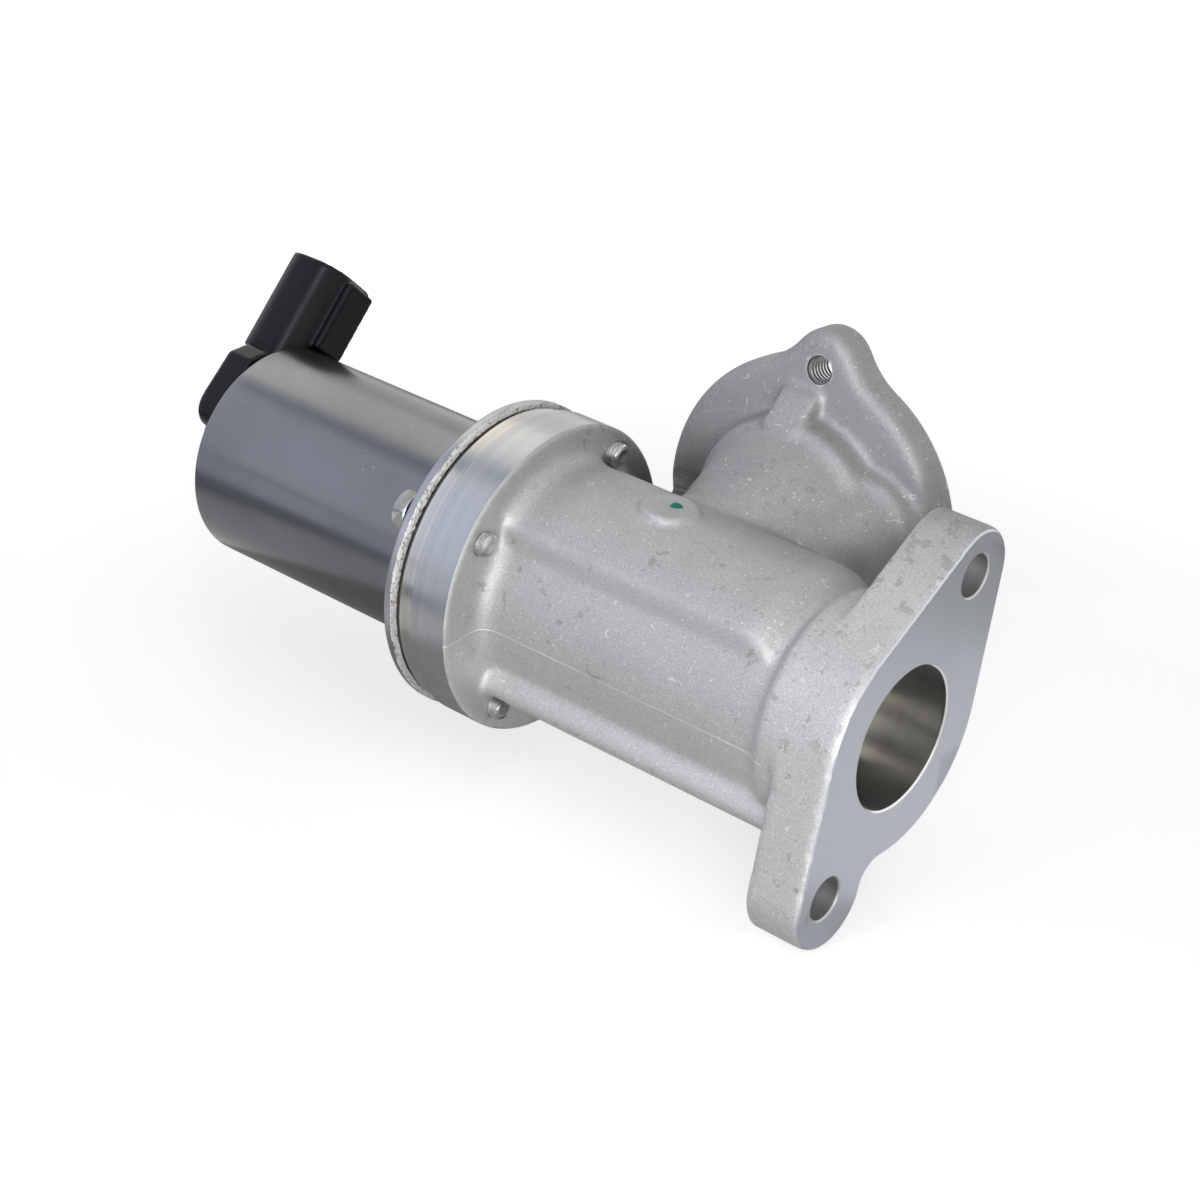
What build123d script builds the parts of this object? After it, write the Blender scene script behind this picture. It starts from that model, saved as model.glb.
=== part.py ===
from build123d import *
from math import cos, hypot, radians, sin, sqrt, tan
import os

# Exhaust gas recirculation valve with a cast body, a solenoid and a position sensor.
# Millimetres and degrees. +X is the valve axis and points out of the inlet port, whose
# machined face is at x = 0. +Y is the way out of the outlet port. +Z is up.

# Inlet flange, an oval with two bolt ears, leaning from the vertical towards the outlet
flange_lean = 30.0
inlet_bore_radius = 14.5
inlet_bore_chamfer = 0.6
inlet_flange_thickness = 12.0
inlet_bolt_circle = 65.5
inlet_bolt_hole_radius = 4.4
inlet_bolt_shift = -1.2
inlet_hole_chamfer = 0.4
inlet_ear_radius = 9.8
inlet_low_ear_radius = 10.4
inlet_low_ear_shift = 1.0
inlet_collar_radius = 23.6
inlet_near_side_radius = 23.6
inlet_far_side_radius = 25.2
inlet_waist_fillet = 5.0
inlet_edge_round = 1.2
inlet_root_fillet = 2.5

# Barrel of the casting: a round core, a thicker crown above it and a rib below it
barrel_core_radius = 22.0
crown_radius = 25.2
crown_start_height = 1.0
crown_slope_rise = 4.0
crown_slope_run = 2.7
crown_slope_reach = 3.0
crown_shoulder_radius = 9.0
crown_shoulder_gap = 5.4
rib_depth = 26.4
rib_half_width_root = 9.5
rib_half_width_foot = 8.3
rib_corner_radius = 2.0

# Solenoid flange of the casting and its four screws
body_flange_radius = 32.7
body_flange_edge_round = 0.8
body_flange_thickness = 9.55
body_length = 93.95
flange_root_fillet = 3.5
screw_circle_radius = 28.0
screw_count = 4
screw_thread_radius = 2.45
screw_thread_clearance = 0.05
screw_head_flats = 8.0
screw_head_height = 3.6
screw_clearance_radius = 2.75
screw_tip_proud = 2.2
spot_face_radius = 5.0
spot_face_depth = 4.4

# Round pad on the crown
pad_radius = 5.9
pad_height = 1.0
pad_position = 58.0
pad_angle = 34.0

# Outlet flange: a round plate with three threaded ears
outlet_face_distance = 42.8
outlet_plate_thickness = 7.8
outlet_axial_position = 53.0
outlet_height = 16.5
outlet_plate_radius = 32.8
outlet_bolt_circle_radius = 31.6
outlet_ear_count = 3
outlet_ear_radius = 8.0
outlet_ear_fillet = 18.0
outlet_edge_fillet = 3.0
outlet_thread_minor_radius = 2.5
outlet_port_radius = 16.0
outlet_port_depth = 8.8

# Raised cover of the outlet port on the barrel side of the plate
cover_wall = 6.4
cover_height = 6.0
cover_taper = 12.0
cover_rim = 1.5
cover_side_radius = 14.0
cover_side_height = 3.5
cover_side_shift = 16.5
cover_side_rise = 2.0
neck_start = 8.0
neck_side_shift = 5.0
neck_side_rise = 2.0
stay_width = 9.0
stay_shift = -2.8
stay_edge_fillet = 1.2
stay_root_height = 6.0
stay_root_proud = 1.0

# Gas passage from the valve chamber to the outlet port
passage_radius = 13.0
passage_height = 4.0
passage_wall = 5.0
passage_overrun = 0.5

# Turned relief that lets the tool pass over the solenoid flange
relief_radius = 38.7
relief_end_gap = 7.4
relief_floor_gap = 4.4

# Valve chamber, seat and poppet
chamber_radius = 17.5
seat_position = 31.0
seat_ring_radius = 16.5
seat_ring_thickness = 6.0
seat_hole_radius = 11.0
seat_cone_depth = 2.5
seat_gap = 0.1
poppet_face_depth = 0.5
poppet_rim_thickness = 1.4
poppet_back_depth = 3.0
poppet_back_radius = 6.5
poppet_neck_depth = 4.0
poppet_neck_radius = 3.8
valve_lift = 5.5

# Stem, guide bush, seal and shield
stem_radius = 3.0
stem_spigot_radius = 2.5
stem_running_gap = 0.04
guide_bush_radius = 7.0
guide_bush_length = 23.0
guide_bush_chamfer = 0.8
stem_seal_radius = 6.0
stem_seal_thickness = 2.5
stem_clip_radius = 5.2
stem_clip_thickness = 0.9
shield_radius = 15.0
shield_wall = 0.9
shield_depth = 9.0

# Base plate and gasket between the casting and the solenoid
base_plate_radius = 31.9
base_plate_thickness = 3.5
base_hub_length = 8.0
base_hub_clearance = 0.1
gasket_radius = 31.5
gasket_thickness = 0.4
gasket_hole_radius = 22.0

# Solenoid
can_radius = 23.15
can_wall = 1.6
can_length = 64.0
can_end_edge_radius = 1.0
sheet_flange_radius = 32.7
sheet_flange_thickness = 3.55
sheet_edge_radius = 1.5
inner_clearance = 0.15
lower_pole_thickness = 9.0
lower_pole_stem_gap = 0.6
sleeve_outer_radius = 12.0
sleeve_inner_radius = 10.97
armature_gap = 0.07
armature_length = 30.0
armature_standoff = 6.0
stop_reserve = 0.5
spring_pocket_radius = 8.2
armature_pocket_depth = 6.0
pole_pocket_depth = 8.0
pole_disc_thickness = 5.8
bobbin_wall = 1.2
bobbin_flange_thickness = 1.6
bobbin_end_gap = 0.1
winding_depth = 6.6
winding_gap = 0.05
return_spring_radius = 6.8
return_spring_wire_radius = 0.55
return_spring_turns = 5.0
wire_section_sides = 8

# Position sensor inside the rear cap
plunger_radius = 1.9
plunger_running_gap = 0.07
plunger_touch_gap = 0.05
wiper_radius = 4.94
wiper_thickness = 1.5
wiper_set_back = 1.2
sensor_inner_radius = 5.0
sensor_outer_radius = 7.9
sensor_pocket_clearance = 0.1
sensor_end_wall = 1.0
sensor_spring_radius = 3.6
sensor_spring_wire_radius = 0.3
sensor_spring_turns = 5.0

# Rear cap with its connector shroud
cap_disc_radius = 15.0
cap_disc_thickness = 6.0
cap_disc_fillet = 1.5
cap_hub_radius = 9.6
cap_hub_length = 12.6
cap_hub_fillet = 1.5
cap_spigot_radius = 9.8
cap_turn = 6.0
shroud_width = 16.2
shroud_span = 18.2
shroud_corner_radius = 6.5
shroud_wall = 1.7
shroud_top = 41.0
shroud_bottom = 17.8
shroud_floor = 24.0
shroud_front_gap = 1.2
shroud_neck_inset = 1.2
base_depth = 8.6
base_top = 16.8
base_bottom = -3.0
base_half_width = 19.2
base_top_half_width = 18.2
base_chamfer = 3.4
base_foot_radius = 5.0
base_wide_height = 3.5
base_edge_fillet = 1.2
key_width = 9.0
key_depth = 2.2
key_neck_width = 6.0
key_neck_depth = 0.9
key_top_drop = 1.2
key_can_gap = 0.5
terminal_count = 5
terminal_pitch = 2.5
terminal_width = 1.0
terminal_thickness = 0.6
terminal_cover = 4.0
terminal_top = 34.5
terminal_tip_chamfer = 0.2

upper_pole_reach = 10.0
stem_end_reach = 5.0
cutter_overrun = 10.0
crown_pad_clearance = 12.0

# Places along the axis that follow from the sizes, as distances behind the inlet face
flange_front = body_length - body_flange_thickness
plate_back = body_length + base_plate_thickness
sheet_front = plate_back + gasket_thickness
sheet_back = sheet_front + sheet_flange_thickness
can_back = sheet_back + can_length
can_inner_radius = can_radius - can_wall
pole_back = plate_back + lower_pole_thickness
sleeve_back = can_back - can_wall - pole_disc_thickness
pole_face = sleeve_back - upper_pole_reach
armature_back = pole_face - valve_lift - stop_reserve
armature_front = armature_back - armature_length
stem_back = armature_back - armature_pocket_depth + stem_end_reach
poppet_front = seat_position + seat_ring_thickness - seat_cone_depth - poppet_face_depth
seat_back = seat_position + seat_ring_thickness
sensor_front = can_back - can_wall
cap_back = can_back + cap_hub_length
can_end_hole_radius = cap_spigot_radius + can_wall
shroud_axis = can_back + shroud_front_gap + shroud_width / 2
inner_radius = can_inner_radius - inner_clearance
outlet_plate_near = outlet_face_distance - outlet_plate_thickness

# Turns a thing modelled with the inlet flange upright into its place in the assembly
lean = Rot(X=-flange_lean)
along_axis = Plane.YZ


def section(points):
    """A closed face in the plane of the valve axis, from pairs of depth and radius."""
    corners = [(-depth, radius) for depth, radius in points]
    return make_face(Polyline(*corners, close=True))


def turned(points):
    """A solid turned about the valve axis from pairs of depth and radius."""
    return revolve(section(points), Axis.X)


def tube(front, back, outer, inner=0.0):
    """A plain round length of the valve axis, with a hole if inner is given."""
    return turned([(front, inner), (front, outer), (back, outer), (back, inner)])


def slice_along_axis(sketch, front, back):
    """A sketch drawn across the valve axis, drawn out from one depth to another."""
    return extrude(along_axis.offset(-back) * sketch, back - front, dir=(1, 0, 0))


# Casting: inlet flange

def inlet_flange_outline():
    """Oval flange seen from its face: ears above and below, and a waist at one corner."""
    ear_height = inlet_bolt_circle / 2
    reach = ear_height + 2 * inlet_ear_radius
    top_ear = Pos(0, ear_height) * Circle(inlet_ear_radius)
    low_ear = Pos(inlet_low_ear_shift, -ear_height) * Circle(inlet_low_ear_radius)
    near_middle = Circle(inlet_near_side_radius)
    far_middle = Circle(inlet_far_side_radius)
    near = make_hull((top_ear + low_ear + near_middle).edges())
    far_top = make_hull((top_ear + far_middle).edges())
    near_half = near & Pos(-reach / 2, 0) * Rectangle(reach, 2 * reach)
    far_quarter = far_top & Pos(reach / 2, reach / 2) * Rectangle(reach, reach)
    low_neck = Pos(inlet_ear_radius / 2, -ear_height / 2) * Rectangle(inlet_ear_radius, ear_height)
    low_quarter = far_middle & Pos(reach / 2, -reach / 2) * Rectangle(reach, reach)
    low_far = low_quarter + low_neck + low_ear
    waist_height = -sqrt(inlet_far_side_radius ** 2 - inlet_ear_radius ** 2)
    waist = low_far.vertices().sort_by_distance((inlet_ear_radius, waist_height))[0]
    low_far = fillet(waist, inlet_waist_fillet)
    return near_half + far_quarter + low_far


def inlet_flange():
    flange = slice_along_axis(inlet_flange_outline(), 0, inlet_flange_thickness)
    rim = flange.faces().sort_by(Axis.X)[-1].edges()
    return fillet(rim, inlet_edge_round)


# Casting: barrel

def root_ring(radius):
    """Concave ring that fills the corner between the barrel and the solenoid flange."""
    corner = -flange_front
    size = flange_root_fillet
    middle = size - size / sqrt(2)
    outline = Polyline((corner, radius + size), (corner - 1, radius + size),
                       (corner - 1, radius - 1), (corner + size, radius - 1),
                       (corner + size, radius))
    hollow = ThreePointArc((corner + size, radius), (corner + middle, radius + middle),
                           (corner, radius + size))
    return revolve(make_face(outline + hollow), Axis.X)


def crown_reach(front, back):
    """Space above the slanted creases where the barrel is thicker."""
    edge = sqrt(barrel_core_radius ** 2 - crown_start_height ** 2)
    slope = crown_slope_reach
    wide = edge + crown_slope_run * slope
    high = crown_start_height + crown_slope_rise * slope
    top = 2 * crown_radius
    upper = Polygon((-edge, crown_start_height), (-wide, high), (-wide, top), (wide, top),
                    (wide, high), (edge, crown_start_height), align=None)
    return slice_along_axis(upper, front, back)


def crown():
    """Thicker upper half of the barrel, with a rounded shoulder before the inlet flange."""
    shoulder_end = inlet_flange_thickness + crown_shoulder_gap
    bend = shoulder_end + crown_shoulder_radius
    inner = crown_radius - crown_shoulder_radius
    swing = crown_shoulder_radius / sqrt(2)
    profile = Polyline((-shoulder_end, inner), (-shoulder_end, 0), (-flange_front, 0),
                       (-flange_front, crown_radius), (-bend, crown_radius))
    round_end = ThreePointArc((-bend, crown_radius), (-bend + swing, inner + swing),
                              (-shoulder_end, inner))
    body = revolve(make_face(profile + round_end), Axis.X) + root_ring(crown_radius)
    return body & crown_reach(shoulder_end, flange_front + 1)


def bottom_rib():
    foot = Polygon((-rib_half_width_root, 0), (-rib_half_width_foot, -rib_depth),
                   (rib_half_width_foot, -rib_depth), (rib_half_width_root, 0), align=None)
    corners = foot.vertices().group_by(Axis.Y)[0]
    foot = fillet(corners, rib_corner_radius)
    return slice_along_axis(foot, inlet_flange_thickness / 2, flange_front)


def barrel():
    start = inlet_flange_thickness / 2
    core = tube(start, flange_front, barrel_core_radius)
    collar = tube(start, inlet_flange_thickness + crown_shoulder_gap, inlet_collar_radius)
    return core + collar + root_ring(barrel_core_radius) + crown() + bottom_rib()


# Casting: solenoid flange

def around_screws(thing):
    """Copies of a thing at the top screw's place, one for each screw."""
    step = 360 / screw_count
    return [Rot(X=k * step) * Pos(0, 0, screw_circle_radius) * thing for k in range(screw_count)]


def barrel_with_flange():
    flange = tube(flange_front, body_length, body_flange_radius)
    front_rim = flange.faces().sort_by(Axis.X)[-1].edges()
    joined = barrel() + fillet(front_rim, body_flange_edge_round)
    spot = tube(flange_front - spot_face_depth, flange_front, spot_face_radius)
    thread = tube(flange_front - 1, body_length + 1, screw_thread_radius + screw_thread_clearance)
    for cutter in around_screws(spot) + around_screws(thread):
        joined -= cutter
    return joined


def crown_pad():
    """Raised round pad, square to the crown."""
    disc = Cylinder(pad_radius, crown_radius + pad_height - barrel_core_radius,
                    align=(Align.CENTER, Align.CENTER, Align.MIN))
    return Rot(X=pad_angle) * Pos(-pad_position, 0, barrel_core_radius) * disc


# Casting: outlet side, drawn in the plane across +Y

def across_outlet(sketch, near, far):
    """A sketch of x and z, drawn out along +Y from one distance to another."""
    return extrude(Plane.XZ.offset(-far) * sketch, far - near, dir=(0, -1, 0))


def outlet_ears():
    places = []
    for k in range(outlet_ear_count):
        turn = radians(90 + k * 360 / outlet_ear_count)
        places.append((outlet_bolt_circle_radius * cos(turn) - outlet_axial_position,
                       outlet_bolt_circle_radius * sin(turn) + outlet_height))
    return places


def outlet_plate():
    outline = Pos(-outlet_axial_position, outlet_height) * Circle(outlet_plate_radius)
    for x, z in outlet_ears():
        outline += Pos(x, z) * Circle(outlet_ear_radius)
    outline = fillet(outline.vertices(), outlet_ear_fillet)
    plate = across_outlet(outline, outlet_plate_near, outlet_face_distance)
    near_rim = plate.faces().sort_by(Axis.Y)[0].edges()
    return fillet(near_rim, outlet_edge_fillet)


def between_circles(far, near):
    """Straight-sided solid between two circles across +Y, each given as x, z, y and radius."""
    rings = [Plane.XZ.offset(-y) * Pos(x, z) * Circle(radius) for x, z, y, radius in (far, near)]
    return loft(rings, ruled=True)


def covered_side(x, z, radius, height, passage_x, passage_z, passage_end):
    """A round boss on the plate, and the sloping wall from its rim down to the barrel."""
    foot = outlet_plate_near + 1
    rim = outlet_plate_near - height
    rim_radius = radius - height * tan(radians(cover_taper))
    boss = between_circles((x, z, foot, radius), (x, z, rim, rim_radius))
    slope = between_circles((x, z, rim + 0.5, rim_radius - cover_rim),
                            (passage_x, passage_z, neck_start, passage_end))
    return boss + slope


def port_cover():
    """Cover of the outlet port, and the way it comes down to the valve chamber."""
    x = -outlet_axial_position
    outer = passage_radius + passage_wall
    main = covered_side(x, outlet_height, outlet_port_radius + cover_wall, cover_height,
                        x, passage_height, outer)
    side = covered_side(x + cover_side_shift, outlet_height + cover_side_rise,
                        cover_side_radius, cover_side_height, x + neck_side_shift,
                        passage_height + neck_side_rise, outer - passage_wall + 1)
    return main + side


def threaded_ear_stay():
    """Sloping stay from the port cover towards the top threaded ear."""
    near = outlet_plate_near - cover_height - stay_root_proud
    top = outlet_height + outlet_bolt_circle_radius - 2 * outlet_thread_minor_radius
    low = outlet_height + outlet_port_radius - 2
    side = Polygon((near, low), (near, low + stay_root_height), (outlet_plate_near - 1.5, top),
                   (outlet_plate_near + 1, top + 1), (outlet_plate_near + 1, low), align=None)
    start = outlet_axial_position - stay_shift - stay_width / 2
    stay = slice_along_axis(side, start, start + stay_width)
    edges = stay.edges().filter_by(lambda edge: edge.center().Y < outlet_plate_near)
    return fillet(edges, stay_edge_fillet)


def passage_wall_block():
    centre = Pos(-outlet_axial_position, passage_height)
    return across_outlet(centre * Circle(passage_radius + passage_wall), 0, outlet_plate_near)


def outlet_side():
    return outlet_plate() + port_cover() + threaded_ear_stay() + passage_wall_block()


def relief_cutter():
    """Ring turned away round the solenoid flange, where the outlet plate stands in the way."""
    start = flange_front - relief_end_gap
    floor = body_flange_radius - relief_floor_gap
    outer = tube(start, body_length + cutter_overrun, relief_radius)
    rim = tube(flange_front, body_length + cutter_overrun, body_flange_radius)
    inner = tube(start, flange_front, floor) + rim
    return outer - inner


def gas_way():
    """Everything that is open to the gas, from the inlet face to the outlet face."""
    bore = tube(-1, seat_position, inlet_bore_radius)
    mouth = turned([(-1, 0), (-1, inlet_bore_radius + inlet_bore_chamfer + 1),
                    (inlet_bore_chamfer, inlet_bore_radius), (inlet_bore_chamfer, 0)])
    seat_pocket = tube(seat_position, seat_back, seat_ring_radius)
    chamber = tube(seat_back, body_length + 1, chamber_radius)
    port = Pos(-outlet_axial_position, outlet_height) * Circle(outlet_port_radius)
    port_floor = outlet_face_distance - outlet_port_depth
    port_bore = across_outlet(port, port_floor, outlet_face_distance + 1)
    passage = Pos(-outlet_axial_position, passage_height) * Circle(passage_radius)
    passage_bore = across_outlet(passage, 0, port_floor + passage_overrun)
    return bore + mouth + seat_pocket + chamber + port_bore + passage_bore


def inlet_bolt_holes():
    holes = []
    for side in (-1, 1):
        place = Pos(0, inlet_bolt_shift, side * inlet_bolt_circle / 2)
        hole = tube(-1, inlet_flange_thickness + crown_pad_clearance, inlet_bolt_hole_radius)
        mouth = turned([(-1, 0), (-1, inlet_bolt_hole_radius + inlet_hole_chamfer + 1),
                        (inlet_hole_chamfer, inlet_bolt_hole_radius), (inlet_hole_chamfer, 0)])
        holes.append(lean * place * (hole + mouth))
    return holes


def outlet_threads():
    holes = []
    for x, z in outlet_ears():
        drill = Pos(x, z) * Circle(outlet_thread_minor_radius)
        holes.append(across_outlet(drill, outlet_plate_near - 8, outlet_face_distance + 1))
    return holes


def valve_body():
    casting = barrel_with_flange() + crown_pad()
    casting = lean * (casting + inlet_flange())
    casting += outlet_side() - tube(0, body_length + cutter_overrun, barrel_core_radius)
    casting -= relief_cutter()
    casting -= gas_way()
    for hole in inlet_bolt_holes() + outlet_threads():
        casting -= hole
    return casting


# Seat and moving valve

def seat_ring():
    cone_start = seat_back - seat_cone_depth
    return turned([(seat_position, seat_hole_radius), (seat_position, seat_ring_radius),
                   (seat_back, seat_ring_radius),
                   (seat_back, seat_hole_radius + seat_cone_depth),
                   (cone_start, seat_hole_radius)])


def valve_poppet():
    cone_front = seat_hole_radius - poppet_face_depth - seat_gap
    rim = seat_hole_radius + seat_cone_depth - seat_gap
    rim_back = seat_back + poppet_rim_thickness
    neck = rim_back + poppet_back_depth
    return turned([(poppet_front, stem_spigot_radius), (poppet_front, cone_front),
                   (seat_back, rim), (rim_back, rim), (neck, poppet_back_radius),
                   (neck + poppet_neck_depth, poppet_neck_radius),
                   (neck + poppet_neck_depth, stem_spigot_radius)])


def valve_stem():
    shoulder = seat_back + poppet_rim_thickness + poppet_back_depth + poppet_neck_depth
    return turned([(poppet_front, 0), (poppet_front, stem_spigot_radius),
                   (shoulder, stem_spigot_radius), (shoulder, stem_radius),
                   (armature_front, stem_radius), (armature_front, stem_spigot_radius),
                   (stem_back, stem_spigot_radius), (stem_back, 0)])


def stem_clip():
    ring = tube(armature_front - stem_clip_thickness, armature_front, stem_clip_radius,
                stem_radius)
    gap = Pos(-armature_front, 0, -stem_clip_radius) * Box(
        4 * stem_clip_thickness, stem_radius, 2 * stem_clip_radius)
    return ring - gap


def guide_bush():
    back = plate_back
    front = back - guide_bush_length
    bore = stem_radius + stem_running_gap
    edge = guide_bush_chamfer
    return turned([(front, bore + edge), (front, guide_bush_radius - edge),
                   (front + edge, guide_bush_radius), (back, guide_bush_radius),
                   (back, bore), (front + edge, bore)])


def stem_seal():
    return tube(plate_back, plate_back + stem_seal_thickness, stem_seal_radius,
                stem_radius + stem_running_gap)


def deposit_shield():
    back = body_length - base_hub_length
    front = back - shield_depth
    return turned([(back, guide_bush_radius), (back, shield_radius), (front, shield_radius),
                   (front, shield_radius - shield_wall),
                   (back - shield_wall, shield_radius - shield_wall),
                   (back - shield_wall, guide_bush_radius)])


# Base plate, gasket and screws

def screw_holes(front, back):
    hole = tube(front - 1, back + 1, screw_clearance_radius)
    return [lean * copy for copy in around_screws(hole)]


def base_plate():
    hub_front = body_length - base_hub_length
    plate = turned([(hub_front, guide_bush_radius),
                    (hub_front, chamber_radius - base_hub_clearance),
                    (body_length, chamber_radius - base_hub_clearance),
                    (body_length, base_plate_radius), (plate_back, base_plate_radius),
                    (plate_back, guide_bush_radius)])
    for hole in screw_holes(body_length, plate_back):
        plate -= hole
    return plate


def flange_gasket():
    gasket = tube(plate_back, sheet_front, gasket_radius, gasket_hole_radius)
    for hole in screw_holes(plate_back, sheet_front):
        gasket -= hole
    return gasket


def flange_screw():
    head_radius = screw_head_flats / sqrt(3)
    head = slice_along_axis(RegularPolygon(head_radius, 6), sheet_back,
                            sheet_back + screw_head_height)
    cap = turned([(sheet_back - 1, 0), (sheet_back - 1, head_radius),
                  (sheet_back + screw_head_height - 0.6, head_radius),
                  (sheet_back + screw_head_height, head_radius - 0.9),
                  (sheet_back + screw_head_height, 0)])
    tip = flange_front - screw_tip_proud
    shank = turned([(tip, 0), (tip, screw_thread_radius - 0.6), (tip + 0.6, screw_thread_radius),
                    (sheet_back, screw_thread_radius), (sheet_back, 0)])
    return (head & cap) + shank


def flange_screws():
    return Compound([lean * copy for copy in around_screws(flange_screw())])


# Solenoid

def solenoid_can():
    can = turned([(sheet_front, can_inner_radius), (sheet_front, can_radius),
                  (can_back, can_radius), (can_back, can_end_hole_radius),
                  (sensor_front, can_end_hole_radius), (sensor_front, can_inner_radius)])
    rear_rim = can.edges().filter_by(
        lambda edge: abs(edge.center().X + can_back) < 0.01 and edge.radius > can_inner_radius)
    return fillet(rear_rim, can_end_edge_radius)


def mounting_flange():
    """Pressed steel ring on the can that takes the screw heads."""
    ring = tube(sheet_front, sheet_back, sheet_flange_radius, can_radius)
    rim = ring.edges().filter_by(
        lambda edge: abs(edge.center().X + sheet_back) < 0.01 and edge.radius > can_radius + 1)
    ring = fillet(rim, sheet_edge_radius)
    for hole in screw_holes(sheet_front, sheet_back):
        ring -= hole
    return ring


def lower_pole():
    stem_hole = stem_radius + lower_pole_stem_gap
    seal_back = plate_back + stem_seal_thickness
    return turned([(plate_back, stem_seal_radius), (plate_back, inner_radius),
                   (pole_back, inner_radius), (pole_back, stem_hole),
                   (seal_back, stem_hole), (seal_back, stem_seal_radius)])


def guide_sleeve():
    return tube(pole_back, sleeve_back, sleeve_outer_radius, sleeve_inner_radius)


def armature():
    radius = sleeve_inner_radius - armature_gap
    pocket = armature_back - armature_pocket_depth
    return turned([(armature_front, stem_spigot_radius), (armature_front, radius - 1),
                   (armature_front + 1, radius), (armature_back, radius),
                   (armature_back, spring_pocket_radius), (pocket, spring_pocket_radius),
                   (pocket, stem_spigot_radius)])


def upper_pole():
    bore = plunger_radius + plunger_running_gap
    nose = sleeve_inner_radius - armature_gap
    pocket = pole_face + pole_pocket_depth
    return turned([(pole_face, spring_pocket_radius), (pole_face, nose), (sleeve_back, nose),
                   (sleeve_back, inner_radius), (sensor_front, inner_radius),
                   (sensor_front, bore), (pocket, bore), (pocket, spring_pocket_radius)])


def coil_bobbin():
    front = pole_back + bobbin_end_gap
    back = sleeve_back - bobbin_end_gap
    bore = sleeve_outer_radius + bobbin_end_gap
    hub = bore + bobbin_wall
    rim = inner_radius - bobbin_end_gap
    return turned([(front, bore), (front, rim), (front + bobbin_flange_thickness, rim),
                   (front + bobbin_flange_thickness, hub), (back - bobbin_flange_thickness, hub),
                   (back - bobbin_flange_thickness, rim), (back, rim), (back, bore)])


def coil_winding():
    front = pole_back + bobbin_end_gap + bobbin_flange_thickness + winding_gap
    back = sleeve_back - bobbin_end_gap - bobbin_flange_thickness - winding_gap
    hub = sleeve_outer_radius + bobbin_end_gap + bobbin_wall + winding_gap
    return tube(front, back, hub + winding_depth, hub)


def wound_spring(front, back, radius, wire, turns):
    """Compression spring along the axis, its end turns resting on both seats."""
    height = back - front - 2 * wire
    path = Helix(height / turns, height, radius)
    start = Plane(origin=path @ 0, z_dir=path % 0)
    coil = sweep(start * RegularPolygon(wire, wire_section_sides), path)
    return Pos(-front - wire, 0, 0) * Rot(Y=-90) * coil


def return_spring():
    front = armature_back - armature_pocket_depth
    back = pole_face + pole_pocket_depth
    return wound_spring(front, back, return_spring_radius, return_spring_wire_radius,
                        return_spring_turns)


# Position sensor

def sensor_body():
    back = cap_back - sensor_end_wall - sensor_pocket_clearance
    return turned([(sensor_front, plunger_radius + plunger_running_gap),
                   (sensor_front, sensor_outer_radius), (back, sensor_outer_radius), (back, 0),
                   (back - sensor_end_wall, 0), (back - sensor_end_wall, sensor_inner_radius),
                   (sensor_front + sensor_end_wall, sensor_inner_radius),
                   (sensor_front + sensor_end_wall, plunger_radius + plunger_running_gap)])


def wiper_front():
    return sensor_front + wiper_set_back


def sensor_plunger():
    front = stem_back + plunger_touch_gap
    return turned([(front, 0), (front, plunger_radius), (wiper_front(), plunger_radius),
                   (wiper_front(), wiper_radius), (wiper_front() + wiper_thickness, wiper_radius),
                   (wiper_front() + wiper_thickness, 0)])


def sensor_spring():
    front = wiper_front() + wiper_thickness
    back = cap_back - 2 * sensor_end_wall - sensor_pocket_clearance
    return wound_spring(front, back, sensor_spring_radius, sensor_spring_wire_radius,
                        sensor_spring_turns)


# Rear cap

def shroud_section(grow):
    return RectangleRounded(shroud_width + 2 * grow, shroud_span + 2 * grow,
                            shroud_corner_radius + grow)


def radial(sketch, low, high):
    """A sketch across the connector, drawn out away from the valve axis."""
    return extrude(Plane.XY.offset(low) * Pos(-shroud_axis, 0) * sketch, high - low, dir=(0, 0, 1))


def shroud_key():
    """Guide rib on the side of the shroud that faces the can, wider at its outer face."""
    front = shroud_width / 2
    bottom = can_radius + key_can_gap
    neck = Pos(front + key_neck_depth / 2, 0) * Rectangle(key_neck_depth + 0.4, key_neck_width)
    flat_depth = key_depth - key_neck_depth
    flat = Pos(front + key_neck_depth + flat_depth / 2, 0) * Rectangle(flat_depth, key_width)
    return radial(neck + flat, bottom, shroud_top - key_top_drop)


def cap_shell():
    disc = tube(can_back, can_back + cap_disc_thickness, cap_disc_radius)
    back_rim = disc.faces().sort_by(Axis.X)[0].edges()
    disc = fillet(back_rim, cap_disc_fillet)
    hub = tube(can_back, cap_back, cap_hub_radius)
    hub_rim = hub.faces().sort_by(Axis.X)[0].edges()
    hub = fillet(hub_rim, cap_hub_fillet)
    spigot = tube(sensor_front, can_back, cap_spigot_radius)
    return disc + hub + spigot


def shroud_base():
    """Broad foot of the connector, seen past the edge of the can."""
    outline = Polygon((-base_half_width, base_bottom), (-base_half_width, base_wide_height),
                      (-base_top_half_width, base_top), (base_top_half_width, base_top),
                      (base_half_width, base_wide_height), (base_half_width, base_bottom),
                      align=None)
    low = outline.vertices().group_by(Axis.Y)[0]
    outline = fillet(low, base_foot_radius)
    high = outline.vertices().group_by(Axis.Y)[-1]
    outline = chamfer(high, base_chamfer)
    front = can_back + shroud_front_gap
    foot = slice_along_axis(outline, front, can_back + base_depth)
    back_rim = foot.faces().sort_by(Axis.X)[0].edges()
    return fillet(back_rim, base_edge_fillet)


def shroud():
    neck = radial(shroud_section(-shroud_neck_inset), 0, shroud_bottom)
    tower = radial(shroud_section(0), shroud_bottom, shroud_top)
    return shroud_base() + neck + tower


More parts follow.
